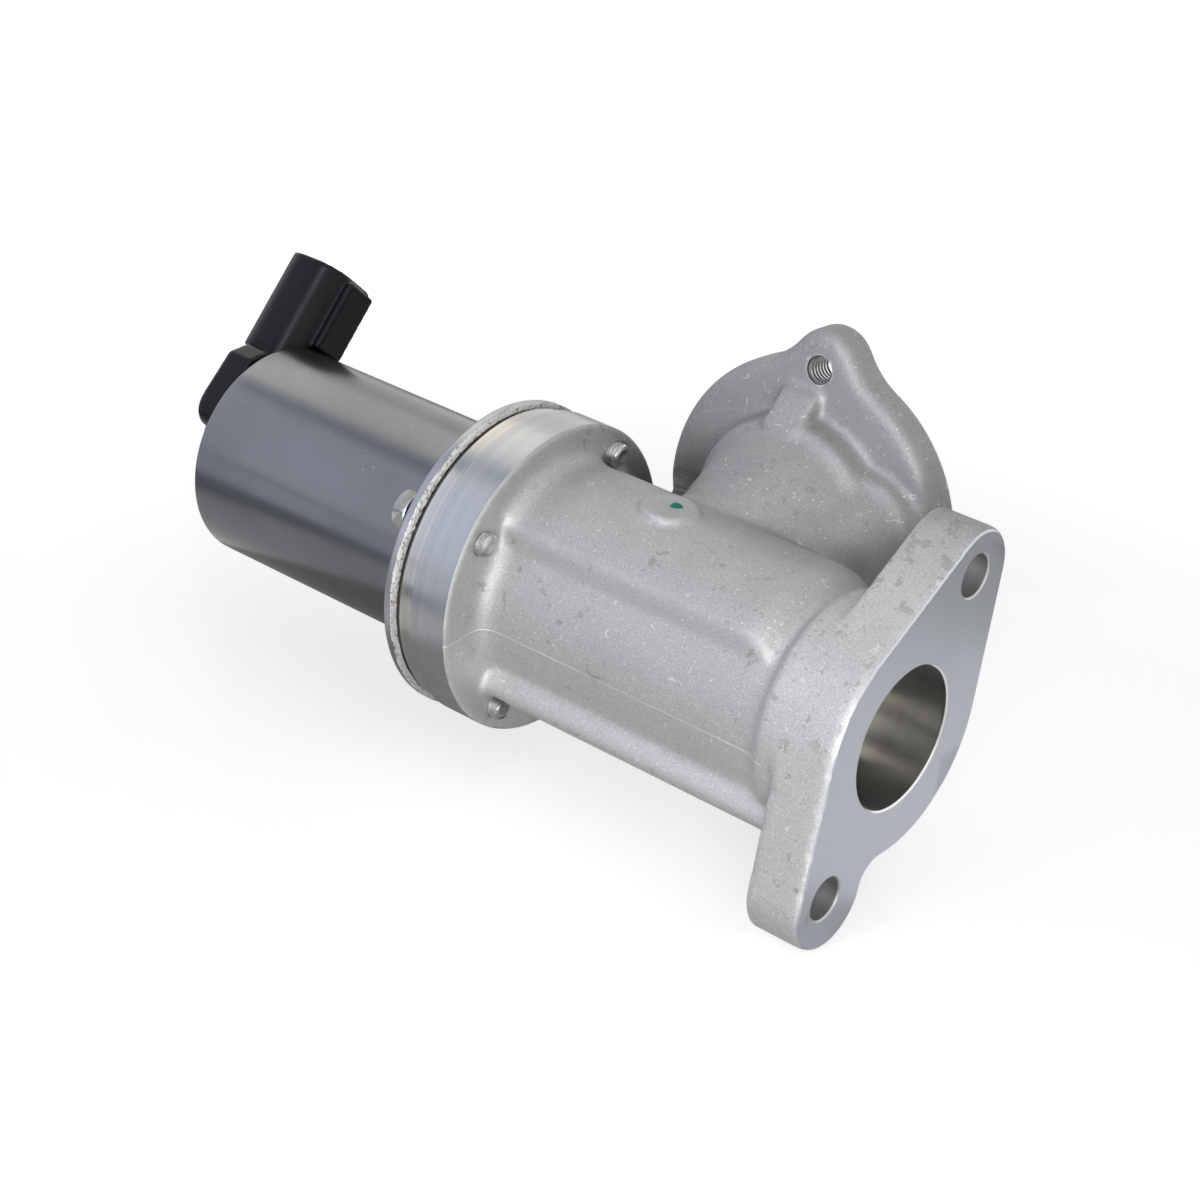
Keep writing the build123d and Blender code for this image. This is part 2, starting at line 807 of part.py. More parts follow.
def connector_cap():
    cap = cap_shell() + shroud() + shroud_key()
    cap -= radial(shroud_section(-shroud_wall), shroud_floor, shroud_top + 1)
    back = cap_back - sensor_end_wall
    cap -= tube(sensor_front - 1, back, sensor_outer_radius + sensor_pocket_clearance)
    for slot in terminal_blanks(terminal_pocket_bottom(), shroud_floor + 1):
        cap -= slot
    return lean * Rot(X=-cap_turn) * cap


def terminal_pocket_bottom():
    return sensor_outer_radius + terminal_cover


def terminal_blanks(low, high):
    blanks = []
    for k in range(terminal_count):
        shift = (k - (terminal_count - 1) / 2) * terminal_pitch
        blade = Pos(0, shift) * Rectangle(terminal_thickness, terminal_width)
        blanks.append(radial(blade, low, high))
    return blanks


def connector_terminals():
    pins = []
    for pin in terminal_blanks(terminal_pocket_bottom(), terminal_top):
        tip = pin.faces().sort_by(Axis.Z)[-1].edges()
        pins.append(lean * Rot(X=-cap_turn) * chamfer(tip, terminal_tip_chamfer))
    return Compound(pins)


def cap_seal():
    """Seal ring squeezed between the cap's spigot and the hole in the can's end."""
    gap = 0.02
    inner = cap_spigot_radius + gap
    outer = can_end_hole_radius - gap
    front = sensor_front + gap
    back = can_back - gap
    corner = (outer - inner) / 4
    return turned([(front, inner + corner), (front, outer - corner), (front + corner, outer),
                   (back - corner, outer), (back, outer - corner), (back, inner + corner),
                   (back - corner, inner), (front + corner, inner)])


nodes = {
    "valve_body": valve_body,
    "seat_ring": seat_ring,
    "valve_poppet": valve_poppet,
    "valve_stem": valve_stem,
    "stem_clip": stem_clip,
    "guide_bush": guide_bush,
    "stem_seal": stem_seal,
    "deposit_shield": deposit_shield,
    "base_plate": base_plate,
    "flange_gasket": flange_gasket,
    "flange_screws": flange_screws,
    "solenoid_can": solenoid_can,
    "mounting_flange": mounting_flange,
    "lower_pole": lower_pole,
    "guide_sleeve": guide_sleeve,
    "armature": armature,
    "upper_pole": upper_pole,
    "coil_bobbin": coil_bobbin,
    "coil_winding": coil_winding,
    "return_spring": return_spring,
    "sensor_body": sensor_body,
    "sensor_plunger": sensor_plunger,
    "sensor_spring": sensor_spring,
    "connector_cap": connector_cap,
    "connector_terminals": connector_terminals,
    "cap_seal": cap_seal,
}

os.makedirs("parts", exist_ok=True)
for name, make in nodes.items():
    export_step(make(), f"parts/{name}.step")
    print(name)
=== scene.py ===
import math

import bpy
import numpy as np
from mathutils import Matrix, Vector


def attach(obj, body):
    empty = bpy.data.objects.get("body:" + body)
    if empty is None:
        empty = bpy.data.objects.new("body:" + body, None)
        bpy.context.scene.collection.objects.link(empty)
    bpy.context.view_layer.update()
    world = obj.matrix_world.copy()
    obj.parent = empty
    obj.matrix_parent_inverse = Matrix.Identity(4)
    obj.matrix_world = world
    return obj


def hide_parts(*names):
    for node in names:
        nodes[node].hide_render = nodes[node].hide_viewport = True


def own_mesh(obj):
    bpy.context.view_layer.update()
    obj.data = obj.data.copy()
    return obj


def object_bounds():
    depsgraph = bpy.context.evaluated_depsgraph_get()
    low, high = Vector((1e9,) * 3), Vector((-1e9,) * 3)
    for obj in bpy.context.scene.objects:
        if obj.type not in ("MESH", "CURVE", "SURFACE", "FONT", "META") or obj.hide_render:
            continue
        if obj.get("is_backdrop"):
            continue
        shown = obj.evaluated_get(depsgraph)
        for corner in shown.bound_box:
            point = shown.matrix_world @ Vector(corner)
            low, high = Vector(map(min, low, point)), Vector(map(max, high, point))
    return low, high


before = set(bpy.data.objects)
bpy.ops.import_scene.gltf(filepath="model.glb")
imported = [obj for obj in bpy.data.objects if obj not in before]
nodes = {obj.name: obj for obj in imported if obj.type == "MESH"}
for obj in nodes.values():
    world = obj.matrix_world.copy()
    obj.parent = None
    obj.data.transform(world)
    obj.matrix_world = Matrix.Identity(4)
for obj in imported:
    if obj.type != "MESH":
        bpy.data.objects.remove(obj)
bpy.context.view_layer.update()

mm = 0.001
flangeLean = Matrix.Rotation(math.radians(-30), 4, "X")  # the inlet flange leans towards the outlet
print("frame loaded with", len(nodes), "nodes")


# camera, at the photograph's viewing angle
cameraSettings = {
    "place": (0.2156, -0.3955, 0.2212),
    "right": (0.7669, 0.6293, 0.1257),
    "forward": (-0.5368, 0.7364, -0.4119),
    "lens": 81.2,
}


def makeCamera(c):
    data = bpy.data.cameras.new("camera")
    data.lens = c["lens"]
    data.sensor_width = 36
    data.clip_start = 0.01
    data.clip_end = 20
    camera = bpy.data.objects.new("camera", data)
    bpy.context.scene.collection.objects.link(camera)
    back = -Vector(c["forward"]).normalized()
    up = back.cross(Vector(c["right"])).normalized()
    right = up.cross(back)
    turn = Matrix((right, up, back)).transposed().to_4x4()
    camera.matrix_world = Matrix.Translation(c["place"]) @ turn
    bpy.context.scene.camera = camera


makeCamera(cameraSettings)
bpy.context.scene.view_settings.view_transform = "Standard"
print("camera ready")


# bench tools: small helpers that every piece uses
def pickOnly(piece):
    if bpy.context.mode != "OBJECT":
        bpy.ops.object.mode_set(mode="OBJECT")
    bpy.ops.object.select_all(action="DESELECT")
    piece.select_set(True)
    bpy.context.view_layer.objects.active = piece


def newPiece(name, primitive, **values):
    bpy.ops.object.select_all(action="DESELECT")
    primitive(**values)
    piece = bpy.context.object
    piece.name = name
    return piece


def editAll(piece, kind=None):
    pickOnly(piece)
    bpy.ops.object.mode_set(mode="EDIT")
    if kind:
        bpy.ops.mesh.select_mode(type=kind)
    bpy.ops.mesh.select_all(action="SELECT")


def leaveEdit():
    bpy.ops.object.mode_set(mode="OBJECT")


def settle(piece, place=None):
    # the place goes into the mesh, so the object stays at the origin
    if place is not None:
        piece.matrix_world = place @ piece.matrix_world
    pickOnly(piece)
    bpy.ops.object.transform_apply(location=True, rotation=True, scale=True)


def applyModifier(piece, kind, **settings):
    pickOnly(piece)
    modifier = piece.modifiers.new(kind, kind)
    for key, value in settings.items():
        setattr(modifier, key, value)
    bpy.ops.object.modifier_apply(modifier=modifier.name)


def faceArrays(mesh):
    count = len(mesh.polygons)
    centres, normals = np.zeros(count * 3), np.zeros(count * 3)
    mesh.polygons.foreach_get("center", centres)
    mesh.polygons.foreach_get("normal", normals)
    return centres.reshape(-1, 3), normals.reshape(-1, 3)


def selectFaces(piece, wanted):
    # wanted takes the faces' centres and normals as arrays and answers which to take
    pickOnly(piece)
    mesh = piece.data
    chosen = wanted(*faceArrays(mesh))
    mesh.vertices.foreach_set("select", np.zeros(len(mesh.vertices), bool))
    mesh.edges.foreach_set("select", np.zeros(len(mesh.edges), bool))
    mesh.polygons.foreach_set("select", chosen)
    bpy.ops.object.mode_set(mode="EDIT")
    bpy.ops.mesh.select_mode(type="FACE")


def tidyNormals(piece):
    editAll(piece)
    bpy.ops.mesh.remove_doubles(threshold=1e-5)
    bpy.ops.mesh.normals_make_consistent(inside=False)
    leaveEdit()


def smoothByAngle(piece, angle=30):
    pickOnly(piece)
    bpy.ops.object.shade_smooth_by_angle(angle=math.radians(angle))


def dress(piece, material, angle):
    piece.data.materials.clear()
    piece.data.materials.append(material)
    smoothByAngle(piece, angle)


def turnPiece(name, profile, count=144, closed=True, place=None):
    # a circle drawn out ring by ring; the profile is depth behind the inlet face and radius, in mm
    profile = [(depth, max(radius, 0.001)) for depth, radius in profile]
    depth, radius = profile[0]
    piece = newPiece(name, bpy.ops.mesh.primitive_circle_add, vertices=count, radius=radius * mm,
                     location=(-depth * mm, 0, 0), rotation=(0, math.pi / 2, 0))
    settle(piece)
    editAll(piece)
    for nextDepth, nextRadius in profile[1:] + (profile[:1] if closed else []):
        step = {"value": ((depth - nextDepth) * mm, 0, 0)}
        bpy.ops.mesh.extrude_edges_move(TRANSFORM_OT_translate=step)
        grow = nextRadius / radius
        bpy.ops.transform.resize(value=(1, grow, grow), center_override=(-nextDepth * mm, 0, 0))
        depth, radius = nextDepth, nextRadius
    leaveEdit()
    tidyNormals(piece)
    if place is not None:
        settle(piece, place)
    return piece


def roundEdge(depth, radius, size, start, end, steps=4):
    # points on a small arc of a profile, angles in degrees from +radius towards +depth
    points = []
    for k in range(steps + 1):
        angle = math.radians(start + (end - start) * k / steps)
        points.append((depth + size * math.sin(angle), radius + size * math.cos(angle)))
    return points


def cutWith(piece, cutter):
    applyModifier(piece, "BOOLEAN", operation="DIFFERENCE", object=cutter, solver="EXACT",
                  material_mode="TRANSFER")
    bpy.data.objects.remove(cutter)


def joinAll(first, others):
    pickOnly(first)
    for other in others:
        other.select_set(True)
    bpy.ops.object.join()
    return first


def copySolid(name, nodeName):
    # a solid is never shaped itself, only a merged copy of it
    mesh = nodes[nodeName].data.copy()
    mesh.materials.clear()
    piece = bpy.data.objects.new(name, mesh)
    bpy.context.scene.collection.objects.link(piece)
    editAll(piece)
    bpy.ops.mesh.remove_doubles(threshold=1e-6)
    leaveEdit()
    return piece


def remeshSoft(piece, c):
    applyModifier(piece, "REMESH", mode="VOXEL", voxel_size=c["voxel"])
    applyModifier(piece, "SMOOTH", factor=0.5, iterations=c["smoothing"])


# node helpers
def newMaterial(name, **values):
    material = bpy.data.materials.new(name)
    material.use_nodes = True
    shader = material.node_tree.nodes["Principled BSDF"]
    for key, value in values.items():
        shader.inputs[key].default_value = value
    return material, material.node_tree, shader


def feed(tree, socket, value):
    # a number or a colour is set, an output is linked
    if isinstance(value, (int, float)):
        socket.default_value = value
    elif isinstance(value, tuple):
        socket.default_value = value + (1,)
    elif value is not None:
        tree.links.new(value, socket)


def addNode(tree, kind, **values):
    node = tree.nodes.new(kind)
    for key, value in values.items():
        if key in node.inputs:
            feed(tree, node.inputs[key], value)
        else:
            setattr(node, key, value)
    return node


def addMath(tree, operation, first, second=None, third=None):
    node = addNode(tree, "ShaderNodeMath", operation=operation)
    for socket, value in zip(node.inputs, (first, second, third)):
        feed(tree, socket, value)
    return node.outputs[0]


def times(tree, first, second):
    return addMath(tree, "MULTIPLY", first, second)


def addMix(tree, mask, first, second):
    node = addNode(tree, "ShaderNodeMix", data_type="RGBA")
    for index, value in ((0, mask), (6, first), (7, second)):
        feed(tree, node.inputs[index], value)
    return node.outputs[2]


def addOver(tree, color, mask, share, over):
    return addMix(tree, times(tree, mask, share), color, over)


def addRange(tree, value, low, high, newLow=0.0, newHigh=1.0):
    node = addNode(tree, "ShaderNodeMapRange", interpolation_type="SMOOTHSTEP", Value=value)
    for socket, number in zip(node.inputs[1:5], (low, high, newLow, newHigh)):
        socket.default_value = number
    return node.outputs["Result"]


def addNoise(tree, place, scale, detail=2.0, roughness=0.5, dimensions="3D"):
    node = addNode(tree, "ShaderNodeTexNoise", noise_dimensions=dimensions, Scale=scale, Detail=detail,
                   Roughness=roughness)
    tree.links.new(place, node.inputs["W" if dimensions == "1D" else "Vector"])
    return node.outputs["Fac"]


def addBump(tree, height, distance, before=None):
    return addNode(tree, "ShaderNodeBump", Strength=1.0, Distance=distance, Height=height,
                   Normal=before).outputs["Normal"]


def coordinates(tree):
    return tree.nodes.new("ShaderNodeTexCoord").outputs["Object"]


def splitPlace(tree, place):
    return addNode(tree, "ShaderNodeSeparateXYZ", Vector=place).outputs


def distanceFromAxis(tree, place):
    x, y, z = splitPlace(tree, place)
    squares = addMath(tree, "ADD", times(tree, y, y), times(tree, z, z))
    return addMath(tree, "SQRT", squares)


def linkShader(tree, shader, color, rough, normal):
    for socket, value in (("Base Color", color), ("Roughness", rough), ("Normal", normal)):
        tree.links.new(value, shader.inputs[socket])


def newGroup(name, inputs):
    # an input without a value is a place
    group = bpy.data.node_groups.new(name, "ShaderNodeTree")
    for socket, value in inputs.items():
        kind = "NodeSocketVector" if value is None else "NodeSocketFloat"
        made = group.interface.new_socket(socket, in_out="INPUT", socket_type=kind)
        if value is not None:
            made.default_value = value
    return group, group.nodes.new("NodeGroupInput").outputs


def closeGroup(group, **outputs):
    for socket in outputs:
        group.interface.new_socket(socket, in_out="OUTPUT", socket_type="NodeSocketFloat")
    end = group.nodes.new("NodeGroupOutput").inputs
    for socket, value in outputs.items():
        group.links.new(value, end[socket])
    return group


def placeGroup(tree, group, place, **values):
    node = addNode(tree, "ShaderNodeGroup", node_tree=group, **values)
    tree.links.new(place, node.inputs[0])
    return node


# shared effects
def makeGrainGroup():
    # the fine skin left by shot blasting or moulding, with a slow change of tone
    group, start = newGroup("grain", {"Place": None, "Grain": 2200.0, "Patch": 70.0})
    fine = addNoise(group, start["Place"], start["Grain"], 3, 0.6)
    slow = addNoise(group, start["Place"], start["Patch"], 4, 0.6)
    return closeGroup(group, Height=fine, Tone=addRange(group, slow, 0.3, 0.7),
                      Speck=addRange(group, fine, 0.6, 0.7), Sand=addRange(group, fine, 0.36, 0.64))


def makeLinesGroup():
    # marks a tool leaves side by side: they change along one number only
    group, start = newGroup("toolLines", {"Along": 0.0, "Pitch": 6000.0})
    fine = addNoise(group, start["Along"], start["Pitch"], 3, 0.7, "1D")
    coarse = addNoise(group, start["Along"], times(group, start["Pitch"], 0.12), 2, 0.5, "1D")
    return closeGroup(group, Height=fine, Tone=addRange(group, coarse, 0.25, 0.75))


def makePitsGroup():
    # sparse small hollows and dark marks
    group, start = newGroup("pits", {"Place": None, "Spacing": 260.0, "Size": 0.2, "Share": 0.5})
    warp = addNode(group, "ShaderNodeTexNoise", Scale=900, Vector=start["Place"])
    shift = addNode(group, "ShaderNodeVectorMath", operation="MULTIPLY_ADD")
    group.links.new(warp.outputs["Color"], shift.inputs[0])
    shift.inputs[1].default_value = (0.0012, 0.0012, 0.0012)
    group.links.new(start["Place"], shift.inputs[2])
    cells = addNode(group, "ShaderNodeTexVoronoi", feature="F1", Vector=shift.outputs[0],
                    Scale=start["Spacing"])
    near = addMath(group, "LESS_THAN", cells.outputs["Distance"], start["Size"])
    where = addNoise(group, start["Place"], 45)
    allowed = addMath(group, "GREATER_THAN", where, start["Share"])
    lone = group.nodes.new("ShaderNodeSeparateColor")
    group.links.new(cells.outputs["Color"], lone.inputs[0])
    chosen = addMath(group, "GREATER_THAN", lone.outputs[0], 0.55)
    both = times(group, near, allowed)
    return closeGroup(group, Mask=times(group, both, chosen))


def makeStainGroup():
    # flat dark patches with ragged outlines, gathered in some places
    group, start = newGroup("stains", {"Place": None, "Size": 480.0, "More": 0.0})
    blot = addMath(group, "MULTIPLY_ADD", start["More"], 0.3,
                   addNoise(group, start["Place"], start["Size"], 4, 0.62))
    where = addMath(group, "ADD", addNoise(group, start["Place"], 60), start["More"])
    return closeGroup(group, Mask=times(group, addRange(group, blot, 0.61, 0.65),
                                        addRange(group, where, 0.44, 0.56)))


def makeScratchGroup():
    # short thin bright lines from handling
    group, start = newGroup("scratches", {"Place": None, "Bend": 150.0})
    bend = addNoise(group, start["Place"], start["Bend"])
    away = addMath(group, "ABSOLUTE", addMath(group, "SUBTRACT", bend, 0.5))
    where = addNoise(group, start["Place"], 310)
    return closeGroup(group, Mask=times(group, addRange(group, away, 0.002, 0.014, 1, 0),
                                        addRange(group, where, 0.6, 0.66)))


def makeWearGroup():
    # bare bright edges, broken up so that they aren't an even outline
    group, start = newGroup("edgeWear", {"Place": None, "Edge": 0.5, "From": 0.52, "Full": 0.6})
    rubbed = addNode(group, "ShaderNodeMapRange", interpolation_type="SMOOTHSTEP", Value=start["Edge"],
                     **{"From Min": start["From"], "From Max": start["Full"]})
    broken = addRange(group, addNoise(group, start["Place"], 500, 4, 0.6), 0.3, 0.6, 0.25, 1)
    return closeGroup(group, Mask=times(group, rubbed.outputs["Result"], broken))


grainGroup = makeGrainGroup()
linesGroup = makeLinesGroup()
pitsGroup = makePitsGroup()
stainGroup = makeStainGroup()
scratchGroup = makeScratchGroup()
wearGroup = makeWearGroup()


def addEdgeWear(tree, place, start=0.52, full=0.6):
    edge = tree.nodes.new("ShaderNodeNewGeometry").outputs["Pointiness"]
    return placeGroup(tree, wearGroup, place, Edge=edge, From=start, Full=full).outputs["Mask"]


def makeSurface(name, c):
    # dark and light are the two ends of the slow change of tone, and so are the two roughnesses
    # grain: scale of the skin, scale of the tone, height; lines: direction, pitch, height, share of tone
    # marks: spacing, size, places without, strength, colour; crest: colour of the rubbed edges
    material, tree, shader = newMaterial(name, Metallic=c.get("metal", 1.0))
    if "mirror" in c:
        shader.inputs["Specular IOR Level"].default_value = c["mirror"]
    place = coordinates(tree)
    skin, patch, grainHeight = c["grain"]
    grain = placeGroup(tree, grainGroup, place, Grain=skin, Patch=patch).outputs
    tone, normal = grain["Tone"], None
    if "lines" in c:
        way, pitch, height, share = c["lines"]
        if way == "radius":
            along = distanceFromAxis(tree, place)
        else:
            along = splitPlace(tree, place)["xyz".index(way)]
        lines = placeGroup(tree, linesGroup, along, Pitch=pitch).outputs
        tone = addMath(tree, "MULTIPLY_ADD", lines["Tone"], share, times(tree, tone, 1 - share))
        normal = addBump(tree, lines["Height"], height)
    color = addMix(tree, tone, c["dark"], c["light"])
    if "marks" in c:
        spacing, size, bare, strength, markColor = c["marks"]
        marks = placeGroup(tree, pitsGroup, place, Spacing=spacing, Size=size, Share=bare)
        color = addOver(tree, color, marks.outputs["Mask"], strength, markColor)
    if "crest" in c:
        color = addMix(tree, addEdgeWear(tree, place), color, c["crest"])
    if grainHeight:
        normal = addBump(tree, grain["Height"], grainHeight, before=normal)
    linkShader(tree, shader, color, addRange(tree, grain["Tone"], 0, 1, *c["rough"]), normal)
    return material


finishes = {
    "seatSteel": {"dark": (0.34, 0.33, 0.31), "light": (0.52, 0.51, 0.48), "rough": (0.36, 0.22),
                  "grain": (2500, 90, 3e-6), "lines": ("radius", 7000, 8e-6, 0.5)},
    "stemSteel": {"dark": (0.40, 0.40, 0.40), "light": (0.58, 0.58, 0.57), "rough": (0.3, 0.16),
                  "grain": (2500, 90, 2e-6), "lines": ("x", 9000, 5e-6, 0.5)},
    "springSteel": {"dark": (0.24, 0.24, 0.25), "light": (0.42, 0.42, 0.43), "rough": (0.42, 0.25),
                    "grain": (3200, 90, 4e-6), "lines": ("x", 3000, 3e-6, 0.5)},
    "bushBronze": {"dark": (0.36, 0.25, 0.12), "light": (0.55, 0.42, 0.24), "rough": (0.5, 0.3),
                   "grain": (2600, 90, 8e-6), "lines": ("x", 6000, 6e-6, 0.5)},
    "sealRubber": {"dark": (0.016, 0.016, 0.017), "light": (0.035, 0.035, 0.036), "rough": (0.75, 0.5),
                   "grain": (2400, 90, 2e-5), "lines": ("x", 2500, 4e-6, 0.5), "metal": 0.0},
    "gasketSheet": {"dark": (0.05, 0.042, 0.034), "light": (0.12, 0.1, 0.08), "rough": (0.85, 0.6),
                    "grain": (1800, 90, 4e-5), "lines": ("x", 3500, 1e-5, 0.5), "metal": 0.0},
    "softIron": {"dark": (0.2, 0.195, 0.19), "light": (0.36, 0.355, 0.34), "rough": (0.48, 0.3),
                 "grain": (2200, 90, 6e-6), "lines": ("x", 5200, 1e-5, 0.5)},
    "bobbinPlastic": {"dark": (0.05, 0.05, 0.052), "light": (0.1, 0.1, 0.1), "rough": (0.6, 0.4),
                      "grain": (2600, 90, 1.2e-5), "lines": ("x", 1500, 2e-6, 0.5), "metal": 0.0},
    "copperWire": {"dark": (0.32, 0.1, 0.035), "light": (0.62, 0.25, 0.11), "rough": (0.4, 0.24),
                   "grain": (2600, 90, 4e-6), "lines": ("x", 2400, 0.0001, 0.5)},
    "tinnedBrass": {"dark": (0.42, 0.4, 0.33), "light": (0.62, 0.6, 0.54), "rough": (0.36, 0.2),
                    "grain": (3000, 90, 4e-6), "lines": ("x", 6000, 3e-6, 0.5)},
}
finishMade = {name: makeSurface(name, c) for name, c in finishes.items()}
print("plain finishes ready:", len(finishMade))


# cast aluminium, shot blasted, with its machined faces
castFinish = {
    "dark": (0.42, 0.42, 0.424),
    "light": (0.58, 0.578, 0.578),
    "bright": (0.82, 0.82, 0.81),
    "soil": (0.22, 0.215, 0.205),
    "metal": 0.6,
    "paintedShade": (0.23, 0.231, 0.236),
    "paintedShadeFrom": (-0.002, 0.02),     # painted shade: the outlet side and the upper barrel are darkened in colour
    "paintedShadeShare": 0.6,
    "upperShadeShare": 0.22,
    "rough": (0.62, 0.52),
    "grain": 3000,
    "grainHeight": 8.5e-5,
    "blotHeight": 8e-5,
    "seamHeight": 7e-5,
    "shares": {"speck": 0.3, "wear": 0.45, "scar": 0.5, "scratch": 0.45, "stain": 0.42, "seam": 0.75},
    "toneShares": (0.7, 0.18, 0.12),     # sand, grain, blots
    "stainMore": 0.14,
    "partingUp": (0, 0.5, 0.866),
    "partingOut": (0, 0.866, -0.5),
    "partingSide": -0.012,
    "partingFront": -0.0152,
    "partingLevel": -0.014,
    "partingDrop": -0.66,
    "partingRadius": 0.0214,
    "partingWidth": 0.0002,
}


def addDot(tree, place, way):
    node = addNode(tree, "ShaderNodeVectorMath", operation="DOT_PRODUCT")
    tree.links.new(place, node.inputs[0])
    node.inputs[1].default_value = way
    return node.outputs["Value"]


def makePartingSeam(tree, place, c):
    # the seam of the two mould halves: level along the barrel, falling away over the flange's face
    level = addDot(tree, place, c["partingUp"])
    beyond = addMath(tree, "SUBTRACT", distanceFromAxis(tree, place), c["partingRadius"])
    beyond = addMath(tree, "MAXIMUM", beyond, 0.0)
    line = addMath(tree, "MULTIPLY_ADD", beyond, c["partingDrop"], c["partingLevel"])
    away = addMath(tree, "ABSOLUTE", addMath(tree, "SUBTRACT", level, line))
    seam = addRange(tree, away, 0, c["partingWidth"], 1, 0)
    side = addMath(tree, "LESS_THAN", addDot(tree, place, c["partingOut"]), c["partingSide"])
    behind = addMath(tree, "LESS_THAN", splitPlace(tree, place)[0], c["partingFront"])
    return times(tree, seam, times(tree, side, behind))


def makeCastSkin(c):
    material, tree, shader = newMaterial("castSkin", Metallic=c["metal"])
    place = coordinates(tree)
    x, y, z = splitPlace(tree, place)
    grain = placeGroup(tree, grainGroup, place, Grain=c["grain"], Patch=85).outputs
    blots = placeGroup(tree, grainGroup, place, Grain=420, Patch=26).outputs
    more = times(tree, addRange(tree, x, -0.02, -0.014, 0, c["stainMore"]), addRange(tree, z, -0.02, 0.015))
    stains = placeGroup(tree, stainGroup, place, Size=360, More=more)   # most on the inlet flange
    seam = times(tree, makePartingSeam(tree, place, c), addRange(tree, blots["Tone"], 0, 1, 0.4, 1))
    sand, skin, blot = c["toneShares"]
    tone = addMath(tree, "MULTIPLY_ADD", blots["Tone"], blot, times(tree, grain["Tone"], skin))
    tone = addMath(tree, "MULTIPLY_ADD", grain["Sand"], sand, tone)
    # painted shade: the colour is pulled towards a dark grey on the outlet side and over the upper barrel
    outlet = addRange(tree, y, *c["paintedShadeFrom"], 0, c["paintedShadeShare"])
    upper = times(tree, addRange(tree, z, -0.014, 0.004, 0, c["upperShadeShare"]),
                  addRange(tree, x, -0.02, -0.015, 1, 0))
    color = addMix(tree, addMath(tree, "MAXIMUM", outlet, upper), addMix(tree, tone, c["dark"], c["light"]),
                   c["paintedShade"])
    masks = {
        "speck": grain["Speck"],
        "wear": addEdgeWear(tree, place, 0.515, 0.56),
        "scar": placeGroup(tree, pitsGroup, place, Spacing=640, Size=0.13, Share=0.45).outputs["Mask"],
        "scratch": placeGroup(tree, scratchGroup, place, Bend=150).outputs["Mask"],
        "stain": stains.outputs["Mask"],
        "seam": seam,
    }
    for name, mask in masks.items():
        over = c["soil"] if name == "stain" else c["bright"]
        color = addOver(tree, color, mask, c["shares"][name], over)
    normal = addBump(tree, blots["Height"], c["blotHeight"])
    normal = addBump(tree, grain["Height"], c["grainHeight"], before=normal)
    hollow = addMath(tree, "MULTIPLY_ADD", stains.outputs["Mask"], -0.5, seam)
    normal = addBump(tree, hollow, c["seamHeight"], before=normal)
    linkShader(tree, shader, color, addRange(tree, grain["Tone"], 0, 1, *c["rough"]), normal)
    return material


# dark, light, roughnesses, tool lines
machinedFinish = {
    "milledFace": ((0.61, 0.635, 0.685), (0.65, 0.67, 0.715), (0.36, 0.3), ("y", 3400, 3e-6, 0.5)),
    "turnedWall": ((0.39, 0.4, 0.412), (0.46, 0.468, 0.478), (0.32, 0.25), ("x", 5200, 3e-6, 0.5)),
    "boredWall": ((0.84, 0.83, 0.81), (0.94, 0.93, 0.91), (0.24, 0.16), ("x", 3800, 6e-6, 0.5)),
    "drilledWall": ((0.46, 0.46, 0.46), (0.74, 0.74, 0.73), (0.4, 0.26), ("x", 3200, 2e-5, 0.5)),
    # painted shade: a dark copy of the machined finish for the threaded holes' walls and thread flanks
    "paintedThreadShade": ((0.15, 0.152, 0.158), (0.2, 0.201, 0.206), (0.42, 0.34), ("x", 4200, 3e-6, 0.5)),
}
castSkin = makeCastSkin(castFinish)
machined = {}
for wallName, (dark, light, rough, lines) in machinedFinish.items():
    machined[wallName] = makeSurface(wallName, {
        "dark": dark, "light": light, "rough": rough, "lines": lines, "grain": (3000, 34, 3e-6),
        "marks": (330, 0.1, 0.52, 0.2, (0.12, 0.12, 0.12))})
print("casting finishes ready")


# casting: the solid is filled, softened like a real casting, then machined again
castSizes = {
    "voxel": 0.00064,
    "smoothing": 7,
    "softening": 32,        # more rounds for the barrel's soft creases
    "spare": 0.0015,        # metal left on the faces that get milled
    "chamfer": 0.00035,
    "inletBore": 14.5,
    "seatPocket": 16.5,
    "chamber": 17.5,
    "outletPlace": (-53.0, 42.8, 16.5),
    "outletPort": 16.0,
    "passageHeight": 4.0,
    "passage": 13.0,
    "earCircle": 31.6,
    "earThread": 3.0,
    "inletBolts": 32.75,
    "boltShift": -1.2,
    "boltHole": 4.4,
    "screwCircle": 28.0,
    "screwHole": 2.55,
    "flangeFront": 84.4,
    "bodyLength": 93.95,
    "flangeRadius": 32.62,
    "relief": 38.9,
}


def outletMatrix(x, z):
    # a thing turned about X goes into the outlet face, with its depth measured inwards
    c = castSizes
    place = Matrix.Translation((x * mm, c["outletPlace"][1] * mm, z * mm))
    return place @ Matrix.Rotation(math.radians(90), 4, "Z")


def outletEars():
    x, y, z = castSizes["outletPlace"]
    ears = []
    for k in range(3):
        turn = math.radians(90 + 120 * k)
        ears.append((x + castSizes["earCircle"] * math.cos(turn),
                     z + castSizes["earCircle"] * math.sin(turn)))
    return ears


def screwMatrix(k):
    place = Matrix.Translation((0, 0, castSizes["screwCircle"] * mm))
    return flangeLean @ Matrix.Rotation(math.radians(90 * k), 4, "X") @ place


def boltMatrix(side):
    c = castSizes
    return flangeLean @ Matrix.Translation((0, c["boltShift"] * mm, side * c["inletBolts"] * mm))


def plug(front, back, radius, place=None):
    return turnPiece("plug", [(front, 0), (front, radius), (back, radius), (back, 0)],
                     count=40, closed=False, place=place)


